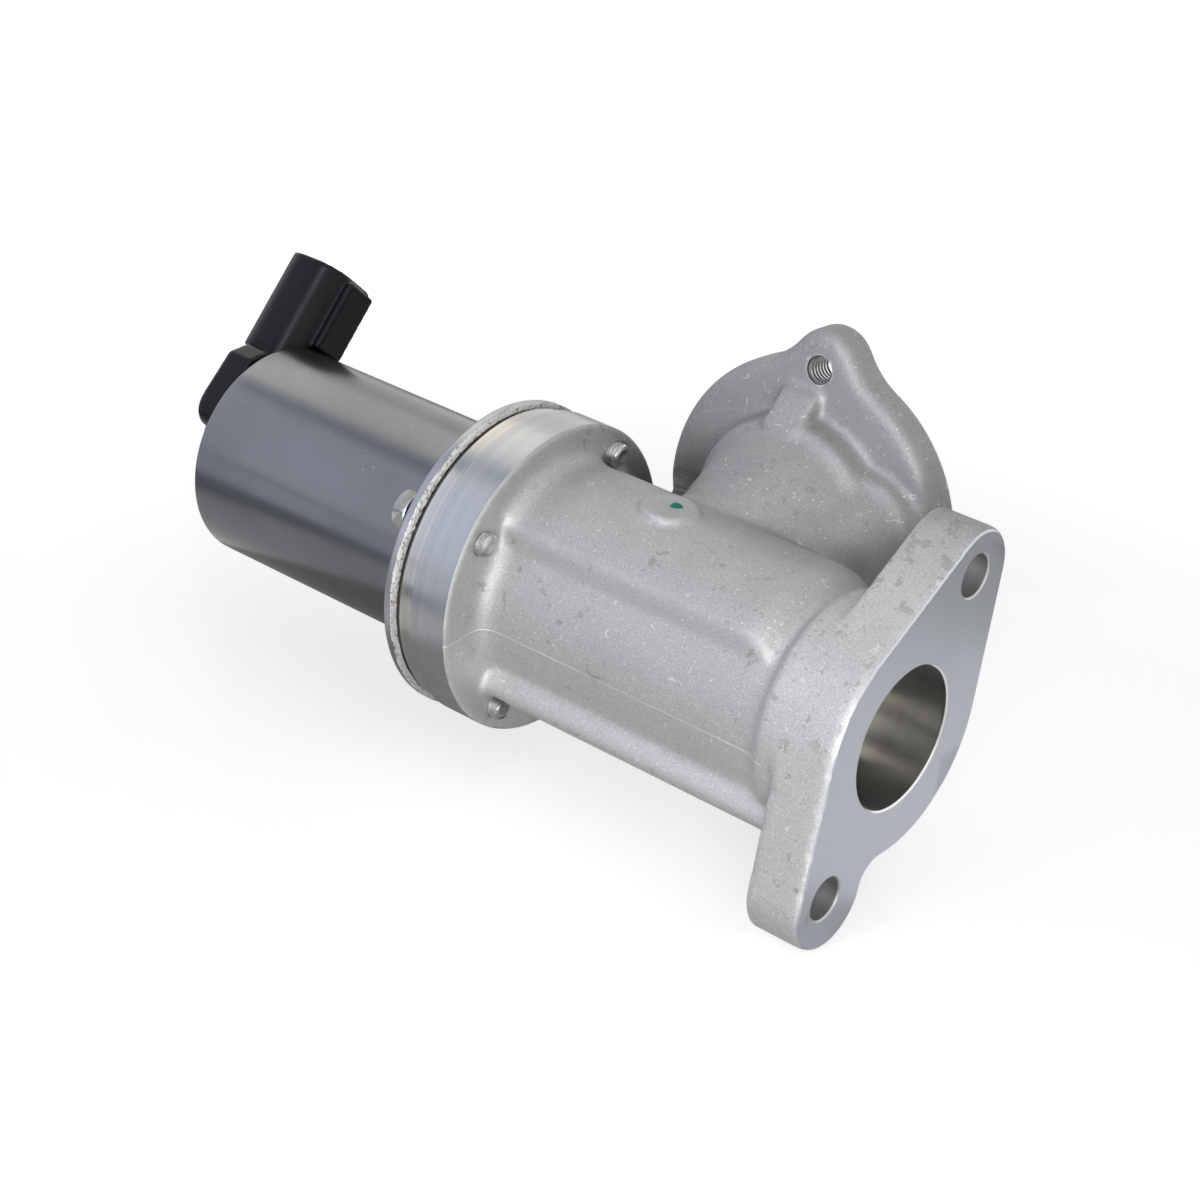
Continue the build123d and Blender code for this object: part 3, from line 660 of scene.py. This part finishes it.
def fillOpenings(c):
    x, y, z = c["outletPlace"]
    plugs = [plug(-1.5, 32, c["inletBore"] + 1.5), plug(30, 95.45, c["chamber"] + 1),
             plug(-1.5, 9.5, c["outletPort"] + 0.9, outletMatrix(x, z)),
             plug(8.5, 42.8, c["passage"] + 1, outletMatrix(x, c["passageHeight"]))]
    for earX, earZ in outletEars():
        plugs.append(plug(-1.5, 7.76, 3.2, outletMatrix(earX, earZ)))
    for side in (-1, 1):
        plugs.append(plug(-1.5, 11.6, c["boltHole"] + 0.8, boltMatrix(side)))
    for k in range(4):
        plugs.append(plug(c["flangeFront"] + 0.3, 95.45, 3.1, screwMatrix(k)))
    front = c["flangeFront"] + 1.2
    plugs.append(turnPiece("sleeve", [(front, 30), (front, 33.5), (95.45, 33.5), (95.45, 30)], count=96))
    return plugs


def leaveSpare(piece, direction, level, amount):
    # faces to be milled get extra metal, so that the milled edge comes out crisp
    way = np.array(direction)
    selectFaces(piece, lambda centres, normals: (normals @ way > 0.99) & (centres @ way > level - 1e-5))
    step = {"value": tuple(amount * way)}
    bpy.ops.mesh.extrude_region_move(TRANSFORM_OT_translate=step)
    leaveEdit()


def fade(values, start, width):
    return np.clip((values - start) / width, 0, 1)


def softenBarrel(piece, c):
    # the crown, its corners and the rib run into the barrel without an edge
    place = np.zeros(len(piece.data.vertices) * 3)
    piece.data.vertices.foreach_get("co", place)
    x, y, z = place.reshape(-1, 3).T / mm
    weight = fade(x, -84.3, 1.2) * fade(-x, 15.5, 2)
    weight *= fade(np.hypot(y, z), 18.5, 1) * fade(-y, -35.6, 1.5)
    pad = np.hypot(x + 57.1, y + 1.0) - 7.5
    weight *= np.where(z > 15, fade(pad, 0, 1.5), 1)      # the pad keeps its rim
    stay = fade(y, 14, 5) * fade(z, 24, 4)
    stay *= fade(-np.abs(x + 55), -7, 2)
    weight *= 1 - 0.8 * stay      # the stay on the outlet side keeps its shape
    group = piece.vertex_groups.new(name="softCreases")
    for level in range(1, 11):
        members = np.nonzero(np.round(weight * 10) == level)[0]
        group.add(members.tolist(), level / 10, "REPLACE")
    applyModifier(piece, "SMOOTH", factor=0.5, iterations=c["softening"], vertex_group="softCreases")


def millFace(piece, direction, level, chamfer):
    editAll(piece, "VERT")
    way = Vector(direction)
    bpy.ops.mesh.bisect(plane_co=way * (level - chamfer), plane_no=way, use_fill=False, clear_outer=True)
    bpy.ops.mesh.remove_doubles(threshold=0.0002)
    bpy.ops.mesh.edge_face_add()
    bpy.ops.mesh.select_mode(type="FACE")
    bpy.ops.mesh.inset(thickness=chamfer, depth=0)
    bpy.ops.transform.translate(value=way * chamfer)
    leaveEdit()


def turnTool(profile, material, count, place=None):
    tool = turnPiece("cutter", profile, count=count, closed=False, place=place)
    tool.data.materials.append(material)
    return tool


def boreTool(c):
    bore, seat, chamber = c["inletBore"], c["seatPocket"], c["chamber"]
    return turnTool([(-1, 0), (-1, bore + 1.3), (0.3, bore), (31, bore), (31, seat), (37, seat),
                     (37, chamber), (96, chamber), (96, 0)], machined["boredWall"], 160)


def portTool(c):
    x, y, z = c["outletPlace"]
    port = c["outletPort"]
    return turnTool([(-1, 0), (-1, port + 1.5), (0.5, port), (8.8, port), (8.8, 0)],
                    machined["boredWall"], 128, outletMatrix(x, z))


def passageTool(c):
    x, y, z = c["outletPlace"]
    return turnTool([(8.3, 0), (8.3, c["passage"]), (42.8, c["passage"]), (42.8, 0)],
                    castSkin, 96, outletMatrix(x, c["passageHeight"]))


def holeTools(c):
    tools = []
    for side in (-1, 1):
        r = c["boltHole"]
        tools.append(turnPiece("drill", [(-1, 0), (-1, r + 1.3), (0.3, r), (24, r), (24, 0)],
                               count=64, closed=False, place=boltMatrix(side)))
    for earX, earZ in outletEars():
        r = c["earThread"]
        tools.append(turnPiece("drill", [(-1, 0), (-1, r + 1.6), (0.6, r), (15, r), (15, 0)],
                               count=48, closed=False, place=outletMatrix(earX, earZ)))
    for k in range(4):
        r = c["screwHole"]
        tools.append(turnPiece("drill", [(80, 0), (80, r), (95, r), (95, 0)], count=40,
                               closed=False, place=screwMatrix(k)))
    tool = joinAll(tools[0], tools[1:])
    tool.data.materials.append(machined["drilledWall"])
    tool.data.materials.append(machined["paintedThreadShade"])
    for face in tool.data.polygons:
        if face.center.y > 0.027 and face.center.x < -0.02:
            face.material_index = 1   # painted shade: the threaded holes' walls are coloured dark for the shade between their turns
    return tool


def reliefTool(c):
    # the lathe pass over the solenoid flange, which also clears the outlet plate
    outer, radius, front = c["relief"], c["flangeRadius"], c["flangeFront"]
    profile = [(77, 28.3), (77, outer), (104, outer), (104, radius - 0.3), (c["bodyLength"], radius - 0.3),
               (c["bodyLength"] - 0.3, radius), (front - 0.2, radius), (front - 0.2, 28.3)]
    tool = turnPiece("reliefTool", profile, count=240)
    tool.data.materials.append(machined["turnedWall"])
    return tool


def makeCasting(c):
    piece = copySolid("castBody", "valve_body")
    leaveSpare(piece, (1, 0, 0), 0, c["spare"])
    leaveSpare(piece, (-1, 0, 0), c["bodyLength"] * mm, c["spare"])
    leaveSpare(piece, (0, 1, 0), c["outletPlace"][1] * mm, c["spare"])
    joinAll(piece, fillOpenings(c))
    remeshSoft(piece, c)
    softenBarrel(piece, c)
    print("casting filled and softened,", len(piece.data.polygons), "faces")
    piece.data.materials.clear()
    piece.data.materials.append(castSkin)
    millFace(piece, (1, 0, 0), 0, c["chamfer"])
    millFace(piece, (0, 1, 0), c["outletPlace"][1] * mm, c["chamfer"])
    millFace(piece, (-1, 0, 0), c["bodyLength"] * mm, 0.0001)
    for tool in (boreTool, portTool, passageTool, holeTools, reliefTool):
        cutWith(piece, tool(c))
        print("  cut with", tool.__name__)
    for vertex in piece.data.vertices:      # the milled faces lie exactly on their planes
        vertex.co.x = min(vertex.co.x, 0)
        vertex.co.y = min(vertex.co.y, c["outletPlace"][1] * mm)
    dressCasting(piece, c)
    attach(piece, "housing")
    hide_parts("valve_body")
    return piece


def dressCasting(piece, c):
    # the flat machined faces take the milled finish
    mesh = piece.data
    names = [material.name for material in mesh.materials]
    if "milledFace" not in names:
        mesh.materials.append(machined["milledFace"])
        names.append("milledFace")
    centres, normals = faceArrays(mesh)
    slots = np.zeros(len(mesh.polygons), int)
    mesh.polygons.foreach_get("material_index", slots)
    skin = slots == names.index("castSkin")
    edge = c["chamfer"] + 1e-5
    flat = (normals[:, 0] > 0.6) & (centres[:, 0] > -edge)
    flat |= (normals[:, 1] > 0.6) & (centres[:, 1] > c["outletPlace"][1] * mm - edge)
    flat |= (normals[:, 0] < -0.9) & (centres[:, 0] < -c["bodyLength"] * mm + edge)
    slots[skin & flat] = names.index("milledFace")
    mesh.polygons.foreach_set("material_index", slots)
    smoothByAngle(piece, 35)


casting = makeCasting(castSizes)
print("casting ready,", len(casting.data.polygons), "faces")


# steel finishes of the solenoid side
canFinish = {"dark": (0.174, 0.178, 0.186), "light": (0.208, 0.212, 0.221), "rough": (0.26, 0.21),
             "grain": (900, 34, 3e-6), "lines": ("x", 7000, 1.5e-6, 0.12),
             "marks": (420, 0.09, 0.5, 0.3, (0.45, 0.45, 0.46))}
polishedFinish = {"dark": (0.42, 0.41, 0.39), "light": (0.54, 0.53, 0.505), "rough": (0.24, 0.15),
                  "grain": (1600, 70, 0), "lines": ("x", 5200, 7e-6, 0.6)}
zincFinish = {"dark": (0.26, 0.26, 0.255), "light": (0.46, 0.46, 0.45), "crest": (0.68, 0.67, 0.65),
              "rough": (0.42, 0.26), "grain": (2600, 260, 3e-5)}
# painted highlight: a bright copy of the metal for the thread crests
paintedCrestFinish = {"dark": (0.8, 0.8, 0.79), "light": (0.92, 0.92, 0.9), "crest": (0.96, 0.95, 0.93),
                "rough": (0.42, 0.26), "grain": (2600, 260, 3e-5)}
plateFinish = {
    "dark": (0.30, 0.31, 0.33),
    "light": (0.44, 0.45, 0.465),
    "torn": (0.64, 0.635, 0.62),
    "stain": (0.2, 0.17, 0.14),
    "rough": (0.3, 0.62),           # smooth and torn, like the metal below
    "metal": (1, 0.75),
    "tornFrom": (-0.0981, -0.0979),
    "tornRadius": 0.0318,
    "tornHeight": 0.0003,
    "wander": 0.0022,
}


def makePressedSteel(c):
    # rear of the ring is smooth, the front of its edge is torn where the press sheared it
    material, tree, shader = newMaterial("pressedSteel")
    place = coordinates(tree)
    x = splitPlace(tree, place)[0]
    lines = placeGroup(tree, linesGroup, x, Pitch=3000)
    rub = placeGroup(tree, grainGroup, place, Grain=1400, Patch=50)
    smooth = addMix(tree, rub.outputs["Tone"], c["dark"], c["light"])
    rough = addNoise(tree, place, 1100, 5, 0.7)
    tornColor = addMix(tree, addRange(tree, rough, 0.37, 0.47), c["stain"], c["torn"])
    wander = addMath(tree, "MULTIPLY_ADD", addNoise(tree, place, 170, 4, 0.65), c["wander"], x)
    torn = addRange(tree, wander, *c["tornFrom"])
    far = distanceFromAxis(tree, place)
    torn = times(tree, torn, addMath(tree, "GREATER_THAN", far, c["tornRadius"]))
    tree.links.new(addRange(tree, torn, 0, 1, *c["metal"]), shader.inputs["Metallic"])
    normal = addBump(tree, times(tree, rough, torn), c["tornHeight"])
    normal = addBump(tree, lines.outputs["Height"], 4e-6, before=normal)
    color = addMix(tree, torn, smooth, tornColor)
    linkShader(tree, shader, color, addRange(tree, torn, 0, 1, *c["rough"]), normal)
    return material


canSteel = makeSurface("canSteel", canFinish)
pressedSteel = makePressedSteel(plateFinish)
polishedPlate = makeSurface("polishedPlate", polishedFinish)
zincSteel = makeSurface("zincSteel", zincFinish)
paintedThreadCrest = makeSurface("paintedThreadCrest", paintedCrestFinish)


# solenoid can
canSizes = {"front": 97.85, "back": 165.4, "radius": 23.15, "inside": 21.55, "endHole": 11.4,
            "endWall": 1.6, "edge": 1.0}


def makeCan(c):
    front, back, radius, edge = c["front"], c["back"], c["radius"], c["edge"]
    hole, wall = c["endHole"], back - c["endWall"]
    profile = [(front, c["inside"]), (front, radius), (front + 4, radius)]
    profile += [(front + 4 + 12 * k, radius) for k in range(1, 6)]
    profile += roundEdge(back - edge, radius - edge, edge, 0, 90, 6)
    profile += [(back, 16), (back, hole + 0.2), (back - 0.2, hole), (wall, hole), (wall, c["inside"])]
    piece = turnPiece("solenoidCan", profile, count=192)
    dress(piece, canSteel, 30)
    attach(piece, "housing")
    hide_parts("solenoid_can")


makeCan(canSizes)


# pressed mounting ring, with its sheared edge
ringSizes = {"front": 97.85, "back": 101.4, "radius": 32.7, "inside": 23.15, "round": 1.5,
             "tornBand": 1.2, "rootFillet": 0.8}


def makeMountingRing(c):
    front, back = c["front"], c["back"]
    profile = [(front, c["inside"]), (front, c["radius"] - 0.5), (front + 0.15, c["radius"] - 0.15)]
    profile += [(front + c["tornBand"] * k / 7, c["radius"]) for k in range(1, 8)]
    profile += roundEdge(back - c["round"], c["radius"] - c["round"], c["round"], 0, 90, 6)
    profile += [(back, 27), (back, c["inside"] + c["rootFillet"])]
    profile += [(back + 0.23, c["inside"] + 0.23), (back + c["rootFillet"], c["inside"])]
    piece = turnPiece("mountingRing", profile, count=320)
    tearEdge(piece, c)
    dress(piece, pressedSteel, 40)
    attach(piece, "housing")
    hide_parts("mounting_flange")


def tearEdge(piece, c):
    # only the sheared band of the rim is displaced, and only inwards
    group = piece.vertex_groups.new(name="torn")
    low = -(c["front"] + c["tornBand"]) * mm
    for vertex in piece.data.vertices:
        radius = math.hypot(vertex.co.y, vertex.co.z)
        if radius > 0.0319 and vertex.co.x > low:
            group.add([vertex.index], 1.0, "REPLACE")
    texture = bpy.data.textures.new("shearedMetal", "CLOUDS")
    texture.noise_scale = 0.0011
    texture.noise_depth = 3
    applyModifier(piece, "DISPLACE", texture=texture, strength=0.0004, mid_level=1.0,
                  direction="NORMAL", vertex_group="torn", texture_coords="LOCAL")


makeMountingRing(ringSizes)


# base plate with its centring hub
plateSizes = {"hubFront": 85.95, "front": 93.95, "back": 97.45, "radius": 31.9, "hub": 17.4,
              "bore": 7.0, "chamfer": 0.3}


def makeBasePlate(c):
    e, hubFront, front, back = c["chamfer"], c["hubFront"], c["front"], c["back"]
    radius, hub, bore = c["radius"], c["hub"], c["bore"]
    profile = [(hubFront, bore), (hubFront, hub - e), (hubFront + e, hub), (front, hub),
               (front, radius - e), (front + e, radius), (front + 1.5, radius), (back - e, radius),
               (back, radius - e), (back, bore)]
    piece = turnPiece("basePlate", profile, count=240)
    for k in range(4):
        hole = turnPiece("drill", [(92, 0), (92, 2.75), (99, 2.75), (99, 0)], count=40, closed=False,
                         place=screwMatrix(k))
        hole.data.materials.append(polishedPlate)
        cutWith(piece, hole)
    dress(piece, polishedPlate, 30)
    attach(piece, "housing")
    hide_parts("base_plate")


makeBasePlate(plateSizes)


# one screw is modelled, then copied to its four places
screwSizes = {
    "tip": 82.2, "seat": 101.4, "top": 105.0, "across": 8.0, "thread": 2.45, "root": 2.05,
    "pitch": 0.8, "threadEnd": 90.0, "washer": 4.5,
}


def makeScrewHead(c):
    flats = c["across"] / 2 / math.cos(math.radians(30))
    seat, top = c["seat"], c["top"]
    head = newPiece("screwHead", bpy.ops.mesh.primitive_cylinder_add, vertices=6, radius=flats * mm,
                    depth=(top - seat - 0.3) * mm, location=(-(seat + 0.3 + top) / 2 * mm, 0, 0),
                    rotation=(0, math.pi / 2, 0))
    settle(head)
    applyModifier(head, "BEVEL", width=0.00022, segments=3, limit_method="ANGLE",
                  angle_limit=math.radians(30))
    # the top corners are turned off and worn round
    dome = turnPiece("dome", [(seat - 1, 0), (seat - 1, 4.55), (top - 1.1, 4.5), (top - 0.55, 4.3),
                              (top - 0.2, 3.95), (top, 3.4), (top, 0)], count=72, closed=False)
    applyModifier(head, "BOOLEAN", operation="INTERSECT", object=dome, solver="EXACT")
    bpy.data.objects.remove(dome)
    return head


def makeScrewShank(c):
    tip, root, end = c["tip"], c["root"], c["seat"] + 0.4
    return turnPiece("shank", [(tip + 0.5, 0), (tip + 0.1, 1.1), (tip, 1.45), (tip + 0.15, 1.75),
                               (tip + 0.5, root), (end, root), (end, 0)], count=40, closed=False)


def makeScrewCollar(c):
    seat, inside, washer = c["seat"], c["root"] - 0.1, c["washer"]
    return turnPiece("collar", [(seat, inside), (seat, washer - 0.1), (seat + 0.12, washer),
                                (seat + 0.34, washer - 0.05), (seat + 0.4, inside)], count=56)


def windThread(name, start, length, root, crest, pitch, inside=False, steps=36, foot=0.46, top=0.07):
    # a ridge profile wound round the axis by the Screw modifier
    ridge = newPiece(name, bpy.ops.mesh.primitive_circle_add, vertices=4, radius=pitch * 0.5 * mm,
                     location=(0, 0, 0), rotation=(math.pi / 2, 0, 0))
    settle(ridge)
    base = root + 0.05 if inside else root - 0.05
    corners = ((base, -foot), (crest, -top), (crest, top), (base, foot))
    for vertex, (radius, along) in zip(ridge.data.vertices, corners):
        vertex.co = (radius * mm, 0, along * pitch * mm)
    rounds = math.ceil(length / pitch)
    share = length / pitch / rounds
    applyModifier(ridge, "SCREW", axis="Z", angle=math.pi * 2 * share, screw_offset=pitch * share * mm,
                  steps=steps, render_steps=steps, iterations=rounds, use_merge_vertices=False)
    closeEnds(ridge)
    settle(ridge, Matrix.Translation((-start * mm, 0, 0)) @ Matrix.Rotation(math.radians(-90), 4, "Y"))
    return ridge


def closeEnds(piece):
    pickOnly(piece)
    bpy.ops.object.mode_set(mode="EDIT")
    bpy.ops.mesh.select_mode(type="EDGE")
    bpy.ops.mesh.select_all(action="DESELECT")
    bpy.ops.mesh.select_non_manifold()
    bpy.ops.mesh.fill()
    bpy.ops.mesh.select_all(action="SELECT")
    bpy.ops.mesh.normals_make_consistent(inside=False)
    leaveEdit()


def makeScrews(c):
    thread = windThread("screwThread", c["tip"] + 0.45, c["threadEnd"] - c["tip"], c["root"], c["thread"],
                        c["pitch"])
    screw = joinAll(makeScrewShank(c), [makeScrewHead(c), makeScrewCollar(c), thread])
    screw.name = "flangeScrew0"
    dress(screw, zincSteel, 35)
    copies = [screw]
    for k in range(1, 4):
        copy = screw.copy()
        copy.data = screw.data.copy()
        copy.name = "flangeScrew" + str(k)
        bpy.context.scene.collection.objects.link(copy)
        copies.append(copy)
    for k, copy in enumerate(copies):
        turn = Matrix.Rotation(math.radians(17 + 23 * k), 4, "X")  # no two heads end at the same angle
        settle(copy, screwMatrix(k) @ turn)
        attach(copy, "housing")
        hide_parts("flange_screws")


makeScrews(screwSizes)
print("solenoid can, ring, plate and screws ready")


# threads in the outlet ears
earThreadSizes = {"root": 3.0, "crest": 2.52, "pitch": 1.0, "start": 0.6, "length": 6.75,
                  "foot": 0.32, "top": 0.16}


def makeEarThreads(c):
    for k, (x, z) in enumerate(outletEars()):
        ridge = windThread("earThread" + str(k), c["start"], c["length"], c["root"], c["crest"], c["pitch"],
                           inside=True, steps=40, foot=c["foot"], top=c["top"])
        ridge.data.materials.append(machined["paintedThreadShade"])
        ridge.data.materials.append(paintedThreadCrest)
        for face in ridge.data.polygons:
            face.material_index = int(abs(face.normal.x) < 0.5)     # painted light: the crests take the bright painted highlight, the flanks the dark painted shade
        settle(ridge, outletMatrix(x, z))
        smoothByAngle(ridge, 35)
        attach(ridge, "housing")


makeEarThreads(earThreadSizes)


# inspection dab of paint on the pad
paintFinish = {"dark": (0.004, 0.22, 0.175), "light": (0.008, 0.3, 0.24), "rough": (0.5, 0.5), "metal": 0.0,
               "mirror": 0.12, "grain": (2600, 1400, 4e-5)}
dabSizes = {"place": (-0.05714, -0.00096, 0.02622), "size": 0.00118, "thick": 0.00012, "tilt": 4}


def makePaintDab(c):
    dab = newPiece("paintDab", bpy.ops.mesh.primitive_circle_add, vertices=28, radius=c["size"],
                   fill_type="NGON", location=(0, 0, 0))
    editAll(dab)
    bpy.ops.mesh.extrude_region_move(TRANSFORM_OT_translate={"value": (0, 0, c["thick"] * 0.6)})
    bpy.ops.mesh.inset(thickness=c["size"] * 0.25, depth=c["thick"] * 0.4)
    bpy.ops.mesh.inset(thickness=c["size"] * 0.4, depth=c["thick"] * 0.1)
    leaveEdit()
    for vertex in dab.data.vertices:
        turn = math.atan2(vertex.co.y, vertex.co.x)
        vertex.co.xy *= 1 + 0.1 * math.sin(3 * turn + 1) + 0.06 * math.sin(5 * turn)
    place = Matrix.Translation(c["place"]) @ Matrix.Rotation(math.radians(c["tilt"]), 4, "X")
    settle(dab, place)
    tidyNormals(dab)
    dress(dab, makeSurface("greenPaint", paintFinish), 50)
    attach(dab, "housing")


makePaintDab(dabSizes)


# rear cap with the plug socket
capFinish = {"dark": (0.0035, 0.0038, 0.0052), "light": (0.0065, 0.0072, 0.0098), "rough": (0.32, 0.25),
             "metal": 0.0, "mirror": 0.19, "grain": (2800, 60, 1.2e-5),
             "marks": (500, 0.08, 0.5, 0.25, (0.08, 0.08, 0.085))}
capSizes = {"voxel": 0.0005, "smoothing": 6}
blackPlastic = makeSurface("blackPlastic", capFinish)


def makeCap(c):
    piece = copySolid("connectorCap", "connector_cap")
    # a moulded part has no sharp edge anywhere
    remeshSoft(piece, c)
    dress(piece, blackPlastic, 60)
    print("cap moulded,", len(piece.data.polygons), "faces")
    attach(piece, "housing")
    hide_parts("connector_cap")


makeCap(capSizes)


# springs: each is wound round its axis
springSizes = {
    "returnSpring": {"node": "return_spring", "front": 136.0, "back": 156.0, "radius": 6.8, "wire": 0.55,
                     "turns": 5, "keep": 0.725, "joint": "valve_lift"},
    "sensorSpring": {"node": "sensor_spring", "front": 166.5, "back": 175.9, "radius": 3.6, "wire": 0.3,
                     "turns": 5, "keep": 0.415, "joint": "sensor_slide"},
}


def makeSpring(name, c):
    height = c["back"] - c["front"] - 2 * c["wire"]
    spring = newPiece(name, bpy.ops.mesh.primitive_circle_add, vertices=12, radius=c["wire"] * mm,
                      location=(c["radius"] * mm, 0, 0), rotation=(math.pi / 2, 0, 0))
    settle(spring)
    applyModifier(spring, "SCREW", axis="Z", angle=math.pi * 2, screw_offset=height / c["turns"] * mm,
                  steps=40, render_steps=40, iterations=c["turns"])
    closeEnds(spring)
    settle(spring, Matrix.Translation((-(c["front"] + c["wire"]) * mm, 0, 0))
           @ Matrix.Rotation(math.radians(-90), 4, "Y"))
    dress(spring, finishMade["springSteel"], 50)
    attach(spring, "housing")
    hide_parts(c["node"])
    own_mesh(spring)


for springName, springValues in springSizes.items():
    makeSpring(springName, springValues)
print("springs ready")


# the solids whose shape is already right only need their finish
solidFinish = {
    "seatSteel": ("seat_ring", "valve_poppet", "deposit_shield"),
    "stemSteel": ("valve_stem", "guide_sleeve", "flange_screws"),
    "springSteel": ("stem_clip", "return_spring", "sensor_spring"),
    "bushBronze": ("guide_bush",),
    "sealRubber": ("stem_seal", "cap_seal", "connector_cap"),
    "gasketSheet": ("flange_gasket",),
    "softIron": ("lower_pole", "upper_pole", "armature", "valve_body", "solenoid_can",
                 "mounting_flange", "base_plate"),
    "bobbinPlastic": ("coil_bobbin", "sensor_body", "sensor_plunger"),
    "copperWire": ("coil_winding",),
    "tinnedBrass": ("connector_terminals",),
}
for finishName, nodeNames in solidFinish.items():
    for nodeName in nodeNames:
        slots = nodes[nodeName].material_slots
        for materialSlot in slots:
            materialSlot.material = finishMade[finishName]
        if not slots:
            nodes[nodeName].data.materials.append(finishMade[finishName])
print("solids dressed")


# studio
studio = {
    "floorDrop": 0.0005,
    "floorSize": 6.0,
    "floorColor": (0.86, 0.86, 0.86),
    "floorLift": (0.6, 1.0),   # near and far, seen by the camera only: a white floor, a light shadow
    "worldStrength": 0.27,
    "middle": (-0.14, 0, 0.02),
    "lamps": {
        "frontLight": {"place": (0.32, -0.55, 0.07), "aim": (-0.04, 0, 0), "size": (0.34, 0.2), "power": 3.4},
        "topLight": {"place": (-0.05, -0.15, 1.0), "aim": (-0.08, 0, 0), "size": (0.9, 0.8), "power": 0.4},
    },
    # a card with a turn lies flat just over the floor, the others face their aim or the middle
    "cards": {
        "nearCard": {"place": (-0.168, -0.05, -0.0386), "turn": -40, "size": (0.3, 0.055),
                     "color": (0.66, 0.66, 0.67)},
        "lowCard": {"place": (-0.202, -0.094, -0.0387), "turn": -40, "size": (0.6, 0.06),
                    "color": (0.28, 0.3, 0.33)},
        "farCard": {"place": (-0.502, -0.451, -0.0388), "turn": -40, "size": (1.8, 0.873),
                    "color": (0.82, 0.86, 0.98)},
        "faceCard": {"place": (0.042, 0.057, -0.0386), "turn": -36, "size": (0.3, 0.13),
                     "color": (0.65, 0.655, 0.67)},
        "skyCard": {"place": (-0.78, -0.55, 0.42), "size": (1.8, 0.86), "color": (0.96, 1.02, 1.18)},
        "warmCard": {"place": (-0.83, 0.34, 0.8), "size": (0.6, 0.44), "color": (1.66, 1.61, 1.51)},
        "duskCard": {"place": (-0.86, -0.216, 0.887), "size": (0.26, 0.7), "color": (0.42, 0.5, 0.62)},
        "plugCard": {"place": (0.008, -0.738, 0.7), "aim": (-0.14, 0, 0.04), "size": (0.18, 0.3),
                     "color": (9.0, 9.2, 9.8)},
    },
}


def makeFloor(c):
    low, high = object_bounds()
    floor = newPiece("floor", bpy.ops.mesh.primitive_plane_add, size=c["floorSize"],
                     location=(0, 0, low.z - c["floorDrop"]))
    material, tree, shader = newMaterial("paleFloor", **{
        "Base Color": c["floorColor"] + (1,), "Roughness": 0.95, "Emission Color": (1, 1, 1, 1)})
    seen = tree.nodes.new("ShaderNodeLightPath").outputs["Is Camera Ray"]
    far = addNode(tree, "ShaderNodeVectorMath", operation="LENGTH")
    tree.links.new(coordinates(tree), far.inputs[0])
    lift = addRange(tree, far.outputs["Value"], 0.14, 0.5, *c["floorLift"])
    tree.links.new(times(tree, seen, lift), shader.inputs["Emission Strength"])
    floor.data.materials.append(material)
    floor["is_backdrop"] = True


def makeWorld(c):
    # white where the camera, glossy and clear surfaces see it, a plain level of light elsewhere
    world = bpy.data.worlds.new("studio")
    bpy.context.scene.world = world
    world.use_nodes = True
    tree = world.node_tree
    background = tree.nodes["Background"]
    background.inputs["Color"].default_value = (1, 1, 1, 1)
    rays = tree.nodes.new("ShaderNodeLightPath").outputs
    seen = addMath(tree, "MAXIMUM", rays["Is Camera Ray"], rays["Is Glossy Ray"])
    seen = addMath(tree, "MAXIMUM", seen, rays["Is Transmission Ray"])
    level = addMath(tree, "MULTIPLY_ADD", seen, 1 - c["worldStrength"], c["worldStrength"])
    tree.links.new(level, background.inputs["Strength"])


def aimTurn(c):
    away = Vector(c.get("aim", studio["middle"])) - Vector(c["place"])
    return away.to_track_quat("-Z", "Y").to_euler()


def makeLamp(name, c):
    data = bpy.data.lights.new(name, "AREA")
    data.shape = "RECTANGLE"
    data.size, data.size_y = c["size"]
    data.energy = c["power"]
    lamp = bpy.data.objects.new(name, data)
    bpy.context.scene.collection.objects.link(lamp)
    lamp.location = c["place"]
    lamp.rotation_euler = aimTurn(c)
    lamp.visible_camera = False


def makeCard(name, c):
    # cards stand out of the picture, only polished surfaces mirror them
    turn = (0, 0, math.radians(c["turn"])) if "turn" in c else aimTurn(c)
    card = newPiece(name, bpy.ops.mesh.primitive_plane_add, size=1, location=c["place"], rotation=turn)
    card.scale = (*c["size"], 1)
    material, tree, shader = newMaterial(name, **{
        "Base Color": (0, 0, 0, 1), "Specular IOR Level": 0, "Emission Color": c["color"] + (1,),
        "Emission Strength": 1})
    card.data.materials.append(material)
    for kind in ("camera", "diffuse", "shadow", "transmission"):
        setattr(card, "visible_" + kind, False)
    card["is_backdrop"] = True


makeFloor(studio)
makeWorld(studio)
for lampName, lampValues in studio["lamps"].items():
    makeLamp(lampName, lampValues)
for cardName, cardValues in studio["cards"].items():
    makeCard(cardName, cardValues)
print("studio ready")
